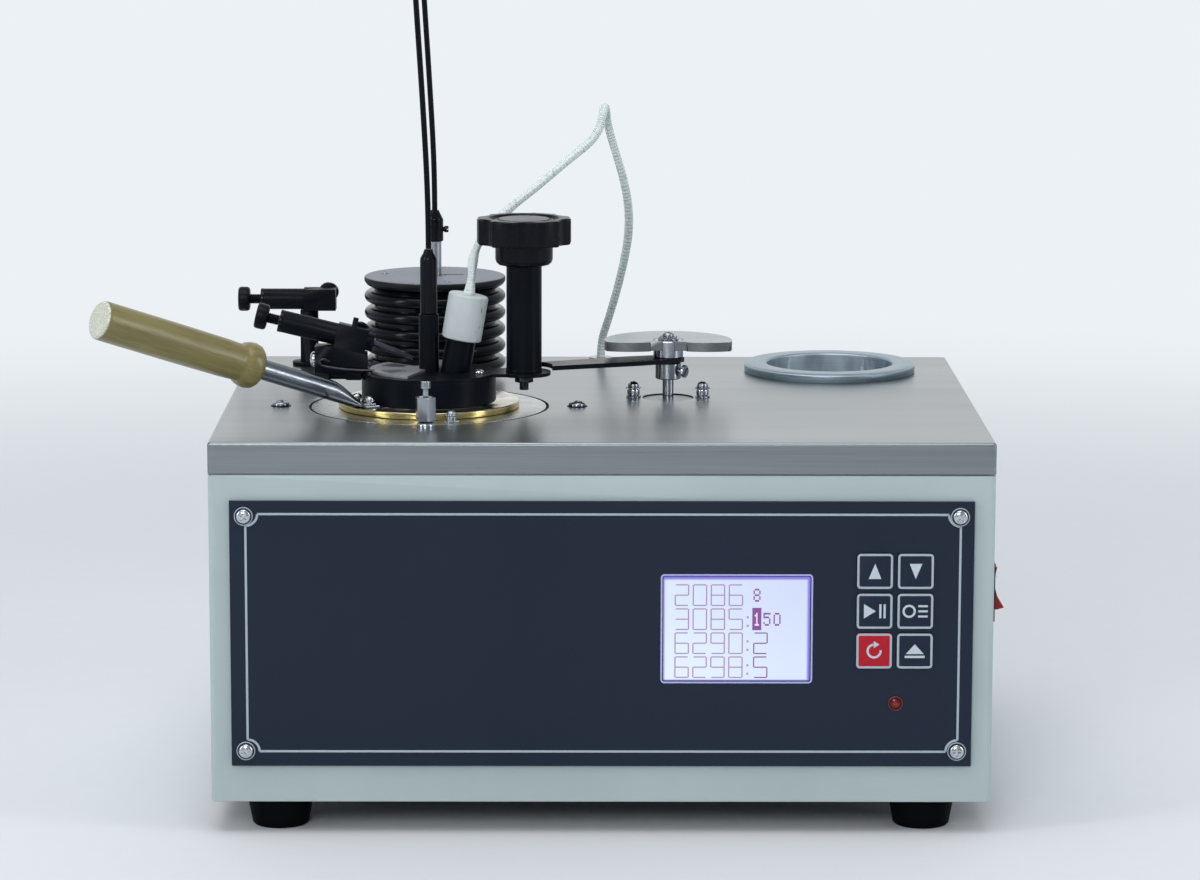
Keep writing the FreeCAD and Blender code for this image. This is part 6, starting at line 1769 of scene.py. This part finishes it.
@dataclass
class MotorTower(Assembly):
    """Ribbed tower of the stirring motor with its cap, shaft and coupling."""

    radius: float = 32.3
    groove: float = 27.5
    bore: float = 22.0
    ribs: int = 5
    first: float = 7.3
    pitch: float = 7.6
    half: float = 2.7
    top: float = 212.3

    def build(self) -> None:
        """Makes the tower's pieces."""
        self.housing()
        self.cap()
        self.shaft()
        self.skin("stirrer_motor", DULL_STEEL)

    def housing(self) -> None:
        """Turned housing with five rounded ribs."""
        outline = [(self.bore, TOP), (self.groove, TOP)]
        middle = self.radius - self.half
        for rib in range(self.ribs):
            height = TOP + self.first + rib * self.pitch
            outline.append((self.groove + 0.3, height - self.half))
            for step in range(13):
                turn = math.pi * (step / 12 - 0.5)
                outline.append((middle + self.half * math.cos(turn), height + self.half * math.sin(turn)))
            outline.append((self.groove + 0.3, height + self.half))
        edge, top = self.radius, self.top
        outline += [
            (self.groove + 0.6, top - 2.6), (edge - 2.6, top - 2.0), (edge - 0.9, top - 1.0),
            (edge - 0.4, top), (self.bore, top),
        ]
        work = Workpiece.turned(outline, 160, True).moved(CUP_X, TOWER_Y, 0)
        self.stand_in(work, "motor_tower_turned", TOWER_BLACK, "motor_tower")

    def cap(self) -> None:
        """Black cap with a rounded rim, a line round the shaft, a slot and three small screws."""
        edge, base = self.radius, self.top
        top = base + 2.7
        outline = [
            (3.3, base + 0.02), (edge - 0.3, base + 0.02), (edge, base + 0.6), (edge, base + 1.8),
            (edge - 0.3, base + 2.4), (edge - 0.9, top), (5.4, top), (5.2, top - 0.3), (4.7, top - 0.3),
            (4.5, top), (3.3, top),
        ]
        slot = Workpiece.tile(8.5, 1.4, 0.6, 4).thickened(1.4).moved(9.0, 2.0, base + 2.0)
        work = Workpiece.turned(outline, 160, True).carved(slot).moved(CUP_X, TOWER_Y, 0)
        self.stand_in(work, "tower_cap_turned", CAP_BLACK, "tower_cap")
        heads = Workpiece()
        for number in range(3):
            dx, dy = polar(24.0, 45 + 120 * number)
            head = cross_head(1.5, 0.6, 0.25).spun(31 * number)
            heads.joined(head.moved(CUP_X + dx, TOWER_Y + dy, top))
        self.place(heads, "tower_cap_screws", BRIGHT_STEEL, "case", "steel")

    def shaft(self) -> None:
        """Bright motor shaft and the black coupling with its slotted set screw."""
        steel = Workpiece.turned([(0, 207.0), (3.0, 207.0), (3.0, 230.9), (0, 230.9)], 64)
        self.stand_in(steel.moved(CUP_X, TOWER_Y, 0), "motor_shaft_turned", BRIGHT_STEEL, "motor_coupling")
        outline = [
            (0, 230.7), (3.6, 230.7), (3.9, 231.0), (3.9, 240.6), (3.6, 241.4), (3.0, 242.6), (2.3, 244.0),
            (1.9, 245.0), (0, 245.0),
        ]
        work = Workpiece.turned(outline, 64)
        stud = [(0, 0), (1.1, 0), (1.1, 4.3), (1.5, 4.5), (1.5, 6.0), (1.3, 6.3), (0, 6.3)]
        screw = Workpiece.turned(stud, 32)
        screw = screw.carved(Workpiece.block((-0.25, -2, 5.5), (0.25, 2, 7)))
        work.joined(screw.spun(90, "Y").moved(0, 0, 236.2)).moved(CUP_X, TOWER_Y, 0)
        self.place(work, "shaft_coupling", TOWER_BLACK, "motor_shaft", "black_metal")


@dataclass
class SampleDrive(Assembly):
    """Turning post with its arm and half-round plate."""

    low_r: float = 5.75
    high_r: float = 6.65
    screw_turn: float = -30.0
    screw_z: float = 180.35
    arm_z: float = 184.2

    def build(self) -> None:
        """Makes the drive's pieces."""
        self.post()
        self.arm()
        self.skin("cam_plate", CAM_STEEL)
        self.skin("drive_gearmotor", DULL_STEEL)
        self.skin("drive_bush", BUSH_STEEL)
        # Painted shade: a thin black ring lines the wall of the cover's hole round the drive.
        hole = Workpiece.turned([(11.15, 166.6), (11.45, 166.6), (11.45, 167.95), (11.15, 167.95)], 96, True)
        self.place(hole.moved(DRIVE_X, DRIVE_Y, 0), "drive_hole_shade_ring", BLACK_ENAMEL, "case", "black_metal")

    def post(self) -> None:
        """Post with its two collars, the slotted set screw, washer and top screw."""
        low, high = self.low_r, self.high_r
        work = Workpiece.turned([(0, 140.0), (2.5, 140.0), (2.5, 193.0), (0, 193.0)], 48)
        work.joined(Workpiece.turned([
            (2.5, 176.5), (low - 0.5, 176.5), (low, 177.0), (low, 183.5), (low - 0.4, 184.1), (2.5, 184.1),
        ], 72, True))
        work.joined(Workpiece.turned([
            (2.5, 186.25), (high - 0.4, 186.25), (high, 186.6), (high, 193.4), (high - 0.5, 193.9),
            (2.5, 193.9),
        ], 72, True))
        stud = [(0, 4.6), (1.1, 4.6), (1.1, 7.4), (2.6, 7.6), (2.85, 7.9), (2.85, 8.7), (2.6, 9.0), (0, 9.0)]
        screw = Workpiece.turned(stud, 40).carved(Workpiece.block((-0.4, -4, 8.2), (0.4, 4, 10))).spun(35)
        work.joined(screw.spun(90, "Y").spun(self.screw_turn).moved(0, 0, self.screw_z))
        for piece, height in (
            (star_washer(4.6, 1.5, 0.6, 12), 194.05), (star_washer(4.0, 1.5, 0.6, 11).spun(14), 194.8),
            (cross_head(2.6, 2.0, 0.4).spun(8), 195.5),
        ):
            work.joined(piece.moved(0, 0, height))
        self.stand_in(work.moved(DRIVE_X, DRIVE_Y, 0), "drive_post_turned", BRIGHT_STEEL, "drive_post")

    def arm(self) -> None:
        """Black arm from below the high collar to the knob column, cut round the lid's lobe."""
        run = Vector((LOBE_X - DRIVE_X, CUP_Y - DRIVE_Y))
        length = run.length
        near = [(4.0, -7.4), (16.0, -8.3), (length, -6.5)]
        far = [(x, -y) for x, y in reversed(near)]
        work = Workpiece.sawn([(-3.0, -6.6), *near, *far, (-3.0, 6.6), (-6.4, 3.2), (-6.4, -3.2)], 2.0)
        lobe = Workpiece.turned([(0, -2), (12.6, -2), (12.6, 4), (0, 4)], 96).moved(length, 0, 0)
        hole = Workpiece.turned([(0, -2), (2.55, -2), (2.55, 4), (0, 4)], 48)
        work = work.carved(lobe).carved(hole)
        work.spun(math.degrees(math.atan2(run.y, run.x))).moved(DRIVE_X, DRIVE_Y, self.arm_z)
        self.stand_in(work, "drive_arm_cut", ARM_BLACK, "drive_arm")


@dataclass
class RearValve(Assembly):
    """Second gas valve on its post at the back left."""

    def build(self) -> None:
        """Dresses the valve."""
        self.skin("rear_valve_body", BLACK_ENAMEL)
        Valve("rear_valve_knob", "case", (-132.3, 98.0, 198.85), 0.0, (-126.4, 103.1, 201.4)).build()


def main() -> None:
    """Builds the room, the cords and then each sub-assembly."""
    logging.basicConfig(level=logging.INFO, format="%(message)s")
    studio = Studio()
    studio.camera()
    Cord(
        "sensor_lead_sleeved", "sensor_lead", GLASS_FIBRE, 1.9, 275.0, LEAD_POINTS, "medium", "loose",
        {0: 1.42, 1: 0.7, 2: 1.28, 3: 0.86, 5: 1.14, 7: 0.95, 9: 1.1, 12: 1.12, 15: 0.94, 18: 1.04, 21: 0.96},
    ).build()
    Cord(
        "flexible_shaft_cased", "flexible_shaft", CABLE_BLACK, 1.25, 387.4, FLEX_POINTS, "stiff", "loose", {},
    ).build()
    studio.ground()
    studio.lights()
    for assembly in (
        Case(), FrontPanel(), Display(), Keypad(), PowerSwitch(), CoverFittings(), Furnace(), TestCup(),
        CupLid(), KnobColumn(), MotorTower(), SampleDrive(), RearValve(),
    ):
        assembly.build()


if __name__ == "__main__":
    main()
